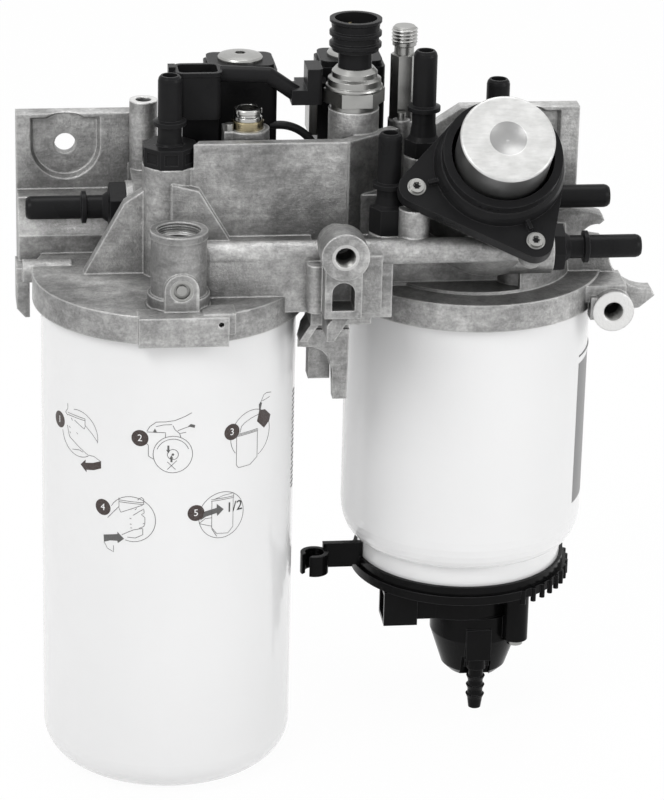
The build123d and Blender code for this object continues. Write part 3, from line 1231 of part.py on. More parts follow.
def sensor_plug():
    """The round connector moulding, open at the top."""
    low = SENSOR_SEAT_Z + SENSOR_CRIMP_TOP
    top = low + SENSOR_PLUG_HEIGHT
    neck, core, rib = SENSOR_NECK_RADIUS, SENSOR_CORE_RADIUS, SENSOR_RIB_RADIUS
    profile = [(0, low), (neck, low), (neck, low + SENSOR_NECK_HEIGHT), (core, low + SENSOR_CORE_START)]
    for first in (SENSOR_LOW_RIB, SENSOR_HIGH_RIB):
        profile += [(core, low + first), (rib, low + first + SENSOR_RIB_SLOPE)]
        profile += [(rib, low + first + SENSOR_RIB_END), (core, low + first + SENSOR_RIB_END + SENSOR_RIB_SLOPE)]
    profile += [(SENSOR_TAPER_RADIUS, top - SENSOR_RIM_HEIGHT), (rib, top - SENSOR_RIM_STRAIGHT), (rib, top), (0, top)]
    body = turned(profile)
    return Pos(SENSOR_X, SENSOR_Y, 0) * (body - post(SENSOR_PLUG_BORE, 0, 0, top - SENSOR_PLUG_DEPTH, top))


def sensor_pins():
    low = SENSOR_SEAT_Z + SENSOR_CRIMP_TOP + SENSOR_PLUG_HEIGHT - SENSOR_PLUG_DEPTH
    pin = post(PIN_WIDTH / 2, 0, 0, low - PIN_SINK, low + PIN_HEIGHT)
    return [Pos(SENSOR_X, SENSOR_Y, 0) * place * pin for place in PolarLocations(4, 3)]


def test_port():
    """The slim test fitting with its threaded tip."""
    z = TEST_SEAT_Z
    body = post(SPIGOT_RADIUS, 0, 0, z - FITTING_THREAD, z) + prism(TEST_HEX_RADIUS, 6, z, z + TEST_HEX_HEIGHT)
    low, top, r = z + TEST_HEX_HEIGHT, z + TEST_HEIGHT, TEST_TIP_RADIUS
    body += turned([
        (0, low - 0.5), (4.2, low - 0.5), (4.2, low + 3.5), (r, low + 4), (r, top - 0.9), (r - 0.8, top), (0, top),
    ])
    return Pos(TEST_X, TEST_Y, 0) * body


def check_fitting():
    """The round pressure-limiting fitting, and the brass ring it seats on."""
    z = CHECK_SEAT_Z
    r, low, top = CHECK_RING_RADIUS, z + CHECK_RING_HEIGHT, z + CHECK_HEIGHT
    ring = turned([(SPIGOT_RADIUS, z), (r, z), (r, low - 0.4), (r - 0.4, low), (SPIGOT_RADIUS, low)])
    body = post(SPIGOT_RADIUS, 0, 0, z - FITTING_THREAD, low)
    body += turned([
        (0, low), (6.0, low), (6.0, low + 1.6), (5.4, low + 2), (5.4, low + 2.9), (6.0, low + 3.2), (6.0, top - 0.5),
        (5.6, top), (0, top),
    ])
    body -= post(CHECK_BORE, 0, 0, top - CHECK_BORE_DEPTH, top)
    return Pos(CHECK_X, CHECK_Y, 0) * body, Pos(CHECK_X, CHECK_Y, 0) * ring


def pump_flange():
    """The primer's moulded body: lobed flange, collar and guide bore."""
    low = PUMP_WELL_FLOOR - WELL_FLOOR
    body = lobed_plate(PUMP_SEAT_RADIUS, LOBE_RADIUS, -PUMP_FLANGE_THICKNESS, 0)
    skirt, r = SKIRT_HEIGHT, PUMP_SEAT_RADIUS
    body += PUMP_FRAME * turned([
        (0, 0), (r, 0), (r - 0.2, skirt * 0.35), (r - 0.9, skirt * 0.7), (COLLAR_RADIUS + 0.4, skirt),
        (COLLAR_RADIUS, skirt), (COLLAR_RADIUS, COLLAR_HEIGHT), (0, COLLAR_HEIGHT),
    ])
    for x, y in lobe_places():
        reach = math.hypot(x, y) - SLEEVE_RADIUS - 1
        rib = Box(reach, LOBE_RIB_WIDTH, LOBE_RIB_HEIGHT, align=(Align.MIN, Align.CENTER, Align.MIN))
        body += PUMP_FRAME * Rot(0, 0, math.degrees(math.atan2(y, x))) * rib
    body += along_pump(COLLAR_RADIUS - 1, low, 0)
    body -= along_pump(COLLAR_BORE, PUMP_WELL_FLOOR, COLLAR_HEIGHT)
    body -= along_pump(ROD_RADIUS + ROD_CLEARANCE, low, PUMP_WELL_FLOOR)
    for x, y in lobe_places():
        body -= along_pump(SLEEVE_RADIUS, -PUMP_FLANGE_THICKNESS, 0, x, y)
    return body


def pump_sleeves():
    """The steel sleeves that the primer's screws clamp."""
    low, high = -PUMP_FLANGE_THICKNESS, SLEEVE_PROUD
    return [
        along_pump(SLEEVE_RADIUS, low, high, x, y) - along_pump(SCREW_RADIUS, low, high, x, y)
        for x, y in lobe_places()
    ]


def pump_screws():
    screws = []
    top = SLEEVE_PROUD + SCREW_HEAD_HEIGHT
    for x, y in lobe_places():
        screw = along_pump(SCREW_RADIUS, -PUMP_FLANGE_THICKNESS - SCREW_LENGTH, SLEEVE_PROUD, x, y)
        screw += along_pump(SCREW_HEAD_RADIUS, SLEEVE_PROUD, top, x, y)
        socket = PUMP_FRAME * Pos(x, y, 0) * prism(SCREW_SOCKET_RADIUS, 6, top - SCREW_SOCKET_DEPTH, top)
        screws.append(screw - socket)
    return screws


def pump_cup():
    """The hand-pressed cup with its finger dimple."""
    top, wall = CUP_TOP, CUP_WALL
    cup = post(CUP_RADIUS, 0, 0, top - CUP_HEIGHT, top)
    cup = fillet(cup.edges().group_by(Axis.Z)[-1], 1.2)
    cup -= post(CUP_RADIUS - wall, 0, 0, top - CUP_HEIGHT, top - CUP_CROWN)
    bowl_radius = (DIMPLE_RADIUS**2 + DIMPLE_DEPTH**2) / (2 * DIMPLE_DEPTH)
    cup -= Pos(0, 0, top + bowl_radius - DIMPLE_DEPTH) * Sphere(bowl_radius)
    return PUMP_FRAME * cup


def pump_spring():
    """The primer's return spring, flat at both ends."""
    low, high = PUMP_WELL_FLOOR, CUP_TOP - CUP_CROWN
    wire = RETURN_SPRING_WIRE
    height = high - low - 2 * wire - 0.4
    helix = Helix(height / RETURN_SPRING_TURNS, height, RETURN_SPRING_RADIUS)
    section = Plane(origin=helix @ 0, z_dir=helix % 0) * Circle(wire)
    return PUMP_FRAME * Pos(0, 0, low + wire + 0.2) * sweep(section, helix, is_frenet=True)


def small_screws():
    """Two small plugs screwed into the casting beside the fittings."""
    screws = []
    for x, y in SMALL_SCREWS:
        low = SMALL_SCREW_Z
        screw = post(SMALL_SCREW_RADIUS, x, y, low - SMALL_SCREW_LENGTH, low)
        screws.append(screw + post(SMALL_HEAD_RADIUS, x, y, low, low + SMALL_HEAD_HEIGHT))
    return screws


def combined(pieces):
    return Compound(children=[piece.solid() for piece in pieces])


def without(shape, pieces):
    for piece in pieces:
        shape -= piece
    return shape


def main():
    os.makedirs("parts", exist_ok=True)
    parts = {"main_stud": stud(0, 0, 0), "separator_stud": stud(*SEP, SEP_SEAT_Z)}
    parts |= pipe_ends()
    parts["centre_pipe_cap"] = CENTRE_PIPE * centre_cap(prism(CENTRE_CORE_RADIUS, 8, 0, CAP_HEIGHT))
    parts |= main_filter()
    parts |= separator()
    pins = socket_pins()
    parts["socket_shell"] = without(socket_shell(), pins)
    parts["socket_pins"] = combined(pins)
    lead = harness_lead()
    coil_a, plate_a, nut_a = coil(COIL_A_LEFT_X, COIL_A_WIDTH, COIL_A_FRONT_Y)
    coil_b, plate_b, nut_b = coil(COIL_B_LEFT_X, COIL_B_WIDTH, COIL_B_FRONT_Y)
    parts |= {"valve_a_coil": coil_a - lead, "valve_b_coil": coil_b}
    parts |= {"valve_plates": combined([plate_a, plate_b]), "valve_nuts": combined([nut_a, nut_b])}
    parts["valve_b_bracket"] = coil_strip()
    parts["harness_lead"] = lead
    parts["lead_grommet"] = grommet(lead)
    parts["harness_arm"], parts["harness_plug"] = harness()
    parts["pressure_sensor"] = pressure_sensor()
    parts["sensor_crimp"] = sensor_crimp()
    pins = sensor_pins()
    parts["sensor_plug"] = without(sensor_plug(), pins)
    parts["sensor_pins"] = combined(pins)
    parts["test_port"] = test_port()
    parts["check_fitting"], parts["check_ring"] = check_fitting()
    parts["small_screws"] = combined(small_screws())
    parts["pump_flange"] = pump_flange()
    parts["pump_sleeves"] = combined(pump_sleeves())
    parts["pump_screws"] = combined(pump_screws())
    parts["pump_cup"] = pump_cup()
    parts["pump_rod"] = along_pump(ROD_RADIUS, PUMP_ROD_END, CUP_TOP - CUP_CROWN)
    parts["pump_spring"] = pump_spring()
    pins = level_pins()
    parts["bowl"] = without(bowl(), pins)
    parts["level_pins"] = combined(pins)
    parts["bowl_ring"] = bowl_ring()
    parts["bowl_screw"] = drain_screw()
    parts["drain_tap"] = drain_tap()
    parts["core_plug"] = core_plug()
    parts["filter_head"] = build_head()
    for node, shape in parts.items():
        write(shape, node)


main()
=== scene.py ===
"""Diesel fuel filter module in a pale studio: a die-cast head, two spin-on filters, a hand primer.

Places and sizes of pieces are written in millimetres from the casting's own zero. Finishes, lamps
and the camera are in metres, as the scene is, with its origin midway between the two engine bolts,
+X towards the separator and +Z up.
"""

import math

import bpy
from mathutils import Matrix, Vector


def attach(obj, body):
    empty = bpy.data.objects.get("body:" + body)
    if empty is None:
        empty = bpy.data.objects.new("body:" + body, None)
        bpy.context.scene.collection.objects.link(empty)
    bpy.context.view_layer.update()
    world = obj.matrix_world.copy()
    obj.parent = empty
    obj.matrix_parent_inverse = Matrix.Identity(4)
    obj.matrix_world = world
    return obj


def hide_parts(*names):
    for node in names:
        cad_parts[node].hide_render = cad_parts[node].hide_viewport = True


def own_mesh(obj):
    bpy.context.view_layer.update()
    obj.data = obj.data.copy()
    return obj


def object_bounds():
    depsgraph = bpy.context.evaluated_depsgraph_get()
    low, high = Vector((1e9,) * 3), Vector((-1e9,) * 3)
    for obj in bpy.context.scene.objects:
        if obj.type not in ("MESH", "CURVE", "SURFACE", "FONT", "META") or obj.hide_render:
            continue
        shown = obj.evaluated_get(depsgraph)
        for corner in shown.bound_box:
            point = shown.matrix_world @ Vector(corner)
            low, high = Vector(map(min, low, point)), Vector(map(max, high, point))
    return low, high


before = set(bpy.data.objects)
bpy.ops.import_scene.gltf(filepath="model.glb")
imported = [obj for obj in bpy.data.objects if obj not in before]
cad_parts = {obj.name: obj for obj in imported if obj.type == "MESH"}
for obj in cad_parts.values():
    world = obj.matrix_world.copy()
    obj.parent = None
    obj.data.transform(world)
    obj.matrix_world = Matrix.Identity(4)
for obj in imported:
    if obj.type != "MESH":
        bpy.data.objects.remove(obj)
CAD_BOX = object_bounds()
MM = 0.001
# The casting's own zero, under the head at the main filter's axis, seen from the engine mount
ZERO = Vector((-0.059, -0.053, -0.0535))
ORIGIN = (0.0, 0.0, 0.0)
WHITE = (1.0, 1.0, 1.0, 1.0)
UPWARDS = (0, 0, 1)
BACKWARDS = (0, 1, 0)
QUARTER_TURN = math.radians(90)

# The primer leans forward by 45 degrees
PUMP_FOOT = (135.5, -22.2, 62.6)
PUMP_FACE = (135.5, -40.585, 80.985)
PUMP_LEAN = math.sqrt(0.5)
PUMP_AXIS = (0.0, -PUMP_LEAN, PUMP_LEAN)
CUP_DISH_RADIUS = 7.7
CUP_RIM_RADIUS = 19.0
CUP_RIM_DEPTH = 0.9


def at(x, y, z):
    """A point given in millimetres from the casting's own zero."""
    return ZERO + Vector((x, y, z)) * MM


# Materials

EDGE_SAMPLES = 4
RECESS_SAMPLES = 6
# How far above and below its plane a machined face is looked for
FACE_DEPTH = 0.4


def find_socket(sockets, name):
    """The socket with that name."""
    return next(socket for socket in sockets if socket.name == name)


def fill_ramp(ramp, stops):
    """Gives a colour ramp its stops, which come in rising order. It starts with two."""
    for place, _ in stops[2:]:
        ramp.elements.new(place)
    elements = sorted(ramp.elements, key=lambda element: element.position)
    for element, (place, color) in zip(elements, stops):
        element.position = place
        element.color = (*color, 1.0)


class Socket:
    """A shader value that adds and multiplies like a number."""

    def __init__(self, nodes, link):
        self.nodes = nodes
        self.link = link

    def math(self, operation, *others):
        return self.nodes.add("ShaderNodeMath", {"operation": operation}, self, *others)

    def __add__(self, other):
        return self.math("ADD", other)

    __radd__ = __add__

    def __mul__(self, other):
        return self.math("MULTIPLY", other)

    __rmul__ = __mul__

    def __sub__(self, other):
        return self.math("SUBTRACT", other)

    def __rsub__(self, other):
        return self.nodes.add("ShaderNodeMath", {"operation": "SUBTRACT"}, other, self)

    def over(self, limit):
        return self.math("GREATER_THAN", limit)

    def under(self, limit):
        return self.math("LESS_THAN", limit)

    def size(self):
        return self.math("ABSOLUTE")

    def ramp(self, low, high, start=0.0, end=1.0):
        """The start value at low, the end value at high, straight between."""
        return self.nodes.add("ShaderNodeMapRange", {"clamp": True}, self, low, high, start, end)


class Nodes:
    """The nodes of a material or of the world."""

    def __init__(self, tree):
        self.tree = tree

    def feed(self, socket, value):
        """Gives an input a value, or links it to a node's output."""
        if isinstance(value, Socket):
            self.tree.links.new(value.link, socket)
        else:
            socket.default_value = value

    def add(self, kind, settings=None, *values, output=None, **named):
        """One node: its settings first, then the values or links of its sockets."""
        node = self.tree.nodes.new(kind)
        for key, value in (settings or {}).items():
            if key == "stops":
                fill_ramp(node.color_ramp, value)
            else:
                setattr(node, key, value)
        inputs = [socket for socket in node.inputs if socket.enabled]
        outputs = [socket for socket in node.outputs if socket.enabled]
        pairs = list(zip(inputs, values))
        pairs += [(find_socket(inputs, key), value) for key, value in named.items()]
        for socket, value in pairs:
            if value is not None:
                self.feed(socket, value)
        return Socket(self, find_socket(outputs, output) if output else outputs[0])

    def background_seen(self):
        """1 where the camera, a reflection or a clear piece sees the background, 0 for its light."""
        camera, glossy, clear = [
            self.add("ShaderNodeLightPath", output=f"Is {ray} Ray")
            for ray in ("Camera", "Glossy", "Transmission")
        ]
        return camera.math("MAXIMUM", glossy).math("MAXIMUM", clear)


class Recipe(Nodes):
    """The nodes of one finish."""

    def __init__(self, name, color, roughness, metallic=0.0):
        self.material = bpy.data.materials.new(name)
        self.material.use_nodes = True
        super().__init__(self.material.node_tree)
        self.shader = self.tree.nodes["Principled BSDF"]
        self.set("Base Color", (*color, 1.0))
        self.set("Roughness", roughness)
        self.set("Metallic", metallic)
        self.spot = None

    def set(self, name, value):
        """Sets or links one input of the surface shader."""
        self.feed(self.shader.inputs[name], value)

    def place(self):
        """The point on the piece, in metres."""
        if self.spot is None:
            self.spot = self.add("ShaderNodeTexCoord", output="Object")
        return self.spot

    def vector(self, operation, *values):
        return self.add("ShaderNodeVectorMath", {"operation": operation}, *values)

    def about(self, centre, axis):
        """How far along an axis the point lies, and its squared distance from that axis."""
        away = self.vector("SUBTRACT", self.place(), tuple(centre))
        along = self.vector("DOT_PRODUCT", away, tuple(axis))
        return along, self.vector("DOT_PRODUCT", away, away) - along * along

    def disc(self, centre, axis, reach):
        """1 on a flat round face, 0 elsewhere."""
        along, squared = self.about(centre, axis)
        return along.size().under(FACE_DEPTH * MM) * squared.under(reach * reach)

    def softened(self, radius):
        """The surface's normal, rounded at its edges to a radius."""
        return self.add("ShaderNodeBevel", {"samples": EDGE_SAMPLES}, Radius=radius)

    def edges(self, soft, low, high):
        """1 along the edges and tight fillets where the softened normal turns, 0 elsewhere."""
        flat = self.add("ShaderNodeNewGeometry", output="Normal")
        return (1.0 - self.vector("DOT_PRODUCT", soft, flat)).ramp(low, high)

    def recess(self, distance):
        """1 deep in a hollow, where shade falls, 0 in the open: the mask for painted shade."""
        kind = "ShaderNodeAmbientOcclusion"
        return 1.0 - self.add(kind, {"samples": RECESS_SAMPLES}, Distance=distance, output="AO")

    def noise(self, size, detail, roughness=0.5, stretch=None):
        """Cloudy noise with features of about that size in metres, from 0 to 1."""
        where = self.place()
        if stretch:
            where = self.add("ShaderNodeMapping", Vector=where, Scale=stretch)
        return self.add(
            "ShaderNodeTexNoise",
            Vector=where, Scale=1.0 / size, Detail=detail, Roughness=roughness,
        )

    def mix(self, share, *colors):
        """A colour between two colours."""
        ends = [color if isinstance(color, Socket) else (*color, 1.0) for color in colors]
        return self.add("ShaderNodeMix", {"data_type": "RGBA"}, share, *ends)

    def bump(self, height, depth, normal=None):
        return self.add(
            "ShaderNodeBump", Strength=1.0, Distance=depth, Height=height, Normal=normal,
        )


CAST_SKIN = (
    (0.36, (0.145, 0.145, 0.144)), (0.46, (0.275, 0.274, 0.271)),
    (0.53, (0.40, 0.398, 0.394)), (0.63, (0.64, 0.638, 0.631)),
)
# Painted shade, mixed into the skin deep in recesses
CAST_PAINTED_SHADE = (0.05, 0.05, 0.049)
# Painted highlight for the casting's edges and tight fillets
CAST_EDGE_HIGHLIGHT = (0.80, 0.798, 0.789)
CAST_MACHINED = (0.76, 0.758, 0.749)
# Round the front port's axis the skin is painted darker than the rest
PORT_FOOT = (0.8, -40.0, 14.0)
PORT_REACH = 14.0
PORT_DARKER = (0.06, 0.06, 0.059)

# Machined faces of the casting: centre, axis, radius, and how bright each was left
MACHINED = (
    ((0.8, -40.0, 44.5), UPWARDS, 11.4, 0.8),
    ((0.8, -40.0, 39.5), UPWARDS, 9.4, 0.6),
    ((67.8, -55.0, 35.5), BACKWARDS, 5.6, 0.45),
    ((192.0, 0.0, -11.0), BACKWARDS, 9.6, 1.0),
    ((-8.0, 40.0, 75.0), UPWARDS, 6.4, 0.9),
    ((1.2, -52.5, 21.5), BACKWARDS, 4.7, 0.5),
    ((151.0, 10.5, 36.0), UPWARDS, 9.4, 0.7),
    ((33.3, 8.0, 72.0), UPWARDS, 7.4, 0.7),
    ((78.5, 12.0, 79.0), UPWARDS, 14.0, 0.7),
)


def cast_aluminium():
    """Die casting: a mottled skin, brushed along X, with painted shade in its recesses and painted
    highlights along its edges.
    """
    look = Recipe("cast_aluminium", (0.6, 0.59, 0.57), 0.42, 0.75)
    broad = look.noise(0.034, detail=2.0, roughness=0.5)
    cloud = look.noise(0.0055, detail=6.0, roughness=0.72)
    grain = look.noise(0.0011, detail=3.0, roughness=0.65)
    pits = look.noise(0.0005, detail=2.0, roughness=0.5)
    brush = look.noise(0.0024, detail=5.0, roughness=0.7, stretch=(0.14, 0.5, 1.0))
    tone = 0.33 * broad + 0.34 * cloud + 0.17 * brush + 0.16 * grain
    skin = look.add("ShaderNodeValToRGB", {"stops": CAST_SKIN}, tone)
    soft = look.softened(0.0012)
    painted_edge_highlight = look.edges(soft, low=0.01, high=0.22)
    # Painted shade: the skin darkens deep in recesses
    skin = look.mix(look.recess(0.018).ramp(0.1, 1.0) * 0.66, skin, CAST_PAINTED_SHADE)
    _, beside = look.about(at(*PORT_FOOT), UPWARDS)
    # The skin is painted darker round the front port
    skin = look.mix(beside.under((PORT_REACH * MM) ** 2) * 0.38, skin, PORT_DARKER)
    # Painted highlights along the edges and tight fillets
    skin = look.mix(painted_edge_highlight * (0.45 + 0.6 * cloud), skin, CAST_EDGE_HIGHLIGHT)
    machined = sum(
        look.disc(at(*centre), axis, reach * MM) * bright for centre, axis, reach, bright in MACHINED
    )
    look.set("Base Color", look.mix(machined, skin, CAST_MACHINED))
    look.set("Metallic", 0.62 + 0.3 * cloud)
    look.set("Roughness", (0.33 + 0.26 * broad) - 0.12 * machined)
    look.set("Normal", look.bump(grain * 0.6 + pits * 0.25 + brush * 0.15, 0.00042, soft))
    return look.material


def white_enamel():
    """Gloss white paint with a trace of orange peel."""
    look = Recipe("white_enamel", (0.82, 0.82, 0.82), 0.2)
    peel = look.noise(0.004, detail=2.0, roughness=0.4)
    patches = look.noise(0.06, detail=2.0)
    look.set("Base Color", look.mix(patches, (0.75, 0.75, 0.752), (0.80, 0.80, 0.802)))
    look.set("Roughness", 0.16 + 0.08 * peel)
    look.set("Coat Weight", 0.4)
    look.set("Coat Roughness", 0.06)
    look.set("Normal", look.bump(peel, 0.00004))
    return look.material


def moulded_plastic(name, tone, roughness, shine):
    """Black moulded plastic with a fine spark-eroded grain and painted highlights along its edges.
    """
    look = Recipe(name, (tone, tone, tone * 1.05), roughness)
    look.set("Specular IOR Level", shine)
    fine = look.noise(0.0009, detail=3.0, roughness=0.6)
    broad = look.noise(0.012, detail=3.0, roughness=0.5)
    soft = look.softened(0.0005)
    painted_edge_sheen = look.edges(soft, low=0.01, high=0.25)
    dark, light = tone * 0.7, tone * 1.5
    color = look.mix(broad, (dark, dark, dark * 1.05), (light, light, light * 1.04))
    # Painted highlights along the edges, in a lighter grey
    look.set("Base Color", look.mix(painted_edge_sheen * 0.7, color, (0.075, 0.075, 0.077)))
    look.set("Roughness", roughness - 0.06 + 0.14 * broad)
    look.set("Normal", look.bump(fine, 0.00004, soft))
    return look.material


def plated_steel(name, color, roughness):
    """Plated turned steel: fine rings of the tool, a soft cloudiness and painted shade in its
    recesses.
    """
    look = Recipe(name, color, roughness, 1.0)
    cloud = look.noise(0.006, detail=3.0, roughness=0.5)
    lines = look.noise(0.0008, detail=2.0, roughness=0.5, stretch=(0.15, 0.15, 3.0))
    dark = tuple(part * 0.62 for part in color)
    finish = look.mix(cloud * 0.5 + lines * 0.15, color, dark)
    # Painted shade: the plating darkens deep in recesses
    look.set("Base Color", look.mix(look.recess(0.006) * 0.5, finish, (0.03, 0.03, 0.03)))
    look.set("Roughness", roughness - 0.05 + 0.16 * lines)
    look.set("Normal", look.bump(lines, 0.00003, look.softened(0.0003)))
    return look.material


# The cup side's colour: a painted dark reflection
CUP_SIDE_DARK_REFLECTION = (0.215, 0.215, 0.214)


def pump_cup_metal():
    """The primer's cup: a pale cut face, partly a painted reflection of the room, a darker dished
    middle and a brushed side painted dark as a reflection.
    """
    look = Recipe("spun_aluminium", (0.8, 0.8, 0.79), 0.3, 0.9)
    along, squared = look.about(at(*PUMP_FACE), PUMP_AXIS)
    radius = squared.math("SQRT")
    cut = look.noise(0.0012, detail=3.0, roughness=0.6, stretch=(0.25, 1.0, 1.0))
    cloud = look.noise(0.007, detail=3.0, roughness=0.5)
    tracks = (0.6 * cloud + 0.4 * cut).ramp(0.3, 0.7)
    # The face's pale colour is partly a painted reflection of the bright room
    face = look.mix(tracks, (0.47, 0.47, 0.462), (0.68, 0.68, 0.672))
    dish = look.mix(cloud, (0.27, 0.27, 0.27), (0.36, 0.36, 0.356))
    within = radius.under(CUP_DISH_RADIUS * MM)
    below = along.under(-CUP_RIM_DEPTH * MM) * radius.over(CUP_RIM_RADIUS * MM)
    # The side is painted dark, as a reflection
    look.set("Base Color", look.mix(below, look.mix(within, face, dish), CUP_SIDE_DARK_REFLECTION))
    look.set("Metallic", (0.45 + 0.4 * below) + 0.2 * within)
    look.set("Roughness", 0.30 + 0.14 * cut)
    look.set("Normal", look.bump(cut, 0.00003, look.softened(0.0005)))
    return look.material


def black_rubber():
    """Dull black rubber with a little dust in its skin."""
    look = Recipe("black_rubber", (0.02, 0.02, 0.021), 0.55)
    look.set("Specular IOR Level", 0.35)
    dust = look.noise(0.003, detail=4.0, roughness=0.6)
    look.set("Base Color", look.mix(dust, (0.006, 0.006, 0.0065), (0.018, 0.018, 0.019)))
    look.set("Normal", look.bump(dust, 0.00006))
    return look.material


def folded_paper():
    """Resin-stiffened brown filter paper."""
    look = Recipe("folded_paper", (0.6, 0.45, 0.22), 0.9)
    fibre = look.noise(0.0012, detail=4.0, roughness=0.7)
    look.set("Base Color", look.mix(fibre, (0.5, 0.36, 0.16), (0.68, 0.52, 0.28)))
    look.set("Normal", look.bump(fibre, 0.0001))
    return look.material


def printing_ink(name, color, patchy):
    """Screen-printed ink: thin in places, a little duller than the enamel."""
    look = Recipe(name, color, 0.35)
    thin = look.noise(0.0007, detail=3.0, roughness=0.6)
    pale = tuple(part + (0.5 - part) * patchy for part in color)
    look.set("Base Color", look.mix(thin.ramp(0.45, 0.8), color, pale))
    look.set("Roughness", 0.28 + 0.16 * thin)
    look.set("Normal", look.bump(thin, 0.00001))
    return look.material


CAST = cast_aluminium()
ENAMEL = white_enamel()
PLASTIC = moulded_plastic("black_plastic", tone=0.0125, roughness=0.28, shine=0.06)
GLOSSY = moulded_plastic("gloss_black_plastic", tone=0.0040, roughness=0.18, shine=0.075)
ZINC = plated_steel("zinc_steel", (0.42, 0.42, 0.407), roughness=0.28)
BRIGHT = plated_steel("bright_steel", (0.56, 0.56, 0.546), roughness=0.16)
CUP = pump_cup_metal()
BRASS = plated_steel("yellow_brass", (0.43, 0.37, 0.235), roughness=0.22)
RUBBER = black_rubber()
PAPER = folded_paper()
BROWN_INK = printing_ink("brown_ink", (0.034, 0.020, 0.017), patchy=0.12)
GREY_INK = printing_ink("grey_ink", (0.090, 0.089, 0.088), patchy=0.1)
LINE_INK = printing_ink("line_ink", (0.022, 0.021, 0.021), patchy=0.1)
WHITE_INK = printing_ink("white_ink", (0.80, 0.80, 0.80), patchy=0.05)
PANEL_INK = printing_ink("panel_ink", (0.17, 0.17, 0.172), patchy=0.1)

# What isn't listed is zinc-plated
FINISHES = (
    (CAST, ("filter_head",)),
    (ENAMEL, ("main_can", "separator_can")),
    (CUP, ("pump_cup",)),
    (BRIGHT, ("pump_rod", "check_fitting")),
    (BRASS, ("check_ring", "socket_pins", "sensor_pins", "level_pins")),
    (RUBBER, ("harness_lead", "lead_grommet", "main_gasket", "separator_gasket", "bowl_gasket")),
    (PAPER, ("main_element", "separator_element")),
    (GLOSSY, ("bowl", "bowl_ring", "drain_tap")),
    (PLASTIC, (
        "left_pipe", "centre_pipe", "centre_pipe_cap", "tall_pipe", "short_pipe", "rear_pipe",
        "high_pipe", "low_pipe", "socket_shell", "sensor_plug", "pump_flange",
        "valve_a_coil", "valve_b_coil", "valve_plates", "harness_arm", "harness_plug",
    )),
)


def dress_frame():
    """Gives every carried-over piece its finish."""
    chosen = {node: finish for finish, nodes in FINISHES for node in nodes}
    for node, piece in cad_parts.items():
        piece.data.materials.clear()
        piece.data.materials.append(chosen.get(node, ZINC))


# Making pieces

STRIP_WIDTH = 1.4
# Printed marks reach from under the can's skin to just above it, figures a little higher
PRINT_SINK = -0.12
PRINT_TOP = 0.06
FIGURE_TOP = 0.11
LINE_STEP = 1.5
DISC_CORNERS = 40
LETTER_STEPS = 4
WINDING_STEPS = 40
SMOOTH_ANGLE = math.radians(35)


def choose(*pieces):
    """Leaves just these pieces selected, the first of them active."""
    bpy.ops.object.select_all(action="DESELECT")
    for piece in pieces:
        piece.select_set(True)
    bpy.context.view_layer.objects.active = pieces[0] if pieces else None


def finished(piece, name, finish, body):
    """Names a piece, gives it its finish, and sets it on its body."""
    piece.name = name
    piece.data.name = name
    piece.data.materials.clear()
    piece.data.materials.append(finish)
    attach(piece, body)
    return piece


def joined(pieces):
    """One piece of several."""
    choose(*pieces)
    bpy.ops.object.join()
    return bpy.context.object


def applied(piece):
    """Puts a piece's place, turn and size into its mesh."""
    choose(piece)
    bpy.ops.object.transform_apply(location=True, rotation=True, scale=True)


def meshed(piece):
    """Turns a curve or text object into a mesh."""
    choose(piece)
    bpy.ops.object.convert(target="MESH")
    return bpy.context.object


def thicken(piece, high=PRINT_TOP):
    """Cuts a flat shape into strips that can bend, and gives it its thickness."""
    choose(piece)
    reach = max(abs(corner.co.x) for corner in piece.data.vertices)
    bpy.ops.object.mode_set(mode="EDIT")
    place = -math.floor(reach / STRIP_WIDTH) * STRIP_WIDTH
    while place < reach:
        bpy.ops.mesh.select_all(action="SELECT")
        bpy.ops.mesh.bisect(plane_co=(place, 0.0, 0.0), plane_no=(1.0, 0.0, 0.0))
        place += STRIP_WIDTH
    bpy.ops.mesh.select_all(action="SELECT")
    bpy.ops.transform.translate(value=(0.0, 0.0, PRINT_SINK))
    rise = {"value": (0.0, 0.0, high - PRINT_SINK)}
    bpy.ops.mesh.extrude_region_move(TRANSFORM_OT_translate=rise)
    bpy.ops.mesh.select_all(action="SELECT")
    bpy.ops.mesh.normals_make_consistent(inside=False)
    bpy.ops.object.mode_set(mode="OBJECT")
    return piece


def on_can(can, turn, height, across, up, proud=0.0):
    """A point of a can's skin, across and up from a turn in degrees (0 in front) and a height."""
    x, y, radius = can
    angle = math.radians(turn) + across / radius
    reach = radius + proud
    return at(x + reach * math.sin(angle), y - reach * math.cos(angle), height + up)


def wrap(piece, can, turn, height):
    """Lays a flat shape that was drawn round its middle on a can."""
    for corner in piece.data.vertices:
        corner.co = on_can(can, turn, height, *corner.co)
    return piece


def round_patch(radius):
    """A flat disc."""
    choose()
    bpy.ops.mesh.primitive_circle_add(vertices=DISC_CORNERS, radius=radius, fill_type="NGON")
    return thicken(bpy.context.object)


def panel(width, height):
    """A flat rectangle."""
    choose()
    bpy.ops.mesh.primitive_plane_add(size=1.0)
    bpy.ops.transform.resize(value=(width, height, 1.0))
    applied(bpy.context.object)
    return thicken(bpy.context.object)


def figure(text, size):
    """Figures round their middle."""
    choose()
    bpy.ops.object.text_add()
    piece = bpy.context.object
    piece.data.body = text
    piece.data.size = size
    piece.data.align_x = "CENTER"
    piece.data.align_y = "CENTER"
    piece.data.resolution_u = LETTER_STEPS
    return thicken(meshed(piece), FIGURE_TOP)


def new_curve(name, dimensions):
    """An empty curve in the scene."""
    curve = bpy.data.curves.new(name, "CURVE")
    curve.dimensions = dimensions
    piece = bpy.data.objects.new(name, curve)
    bpy.context.collection.objects.link(piece)
    return piece


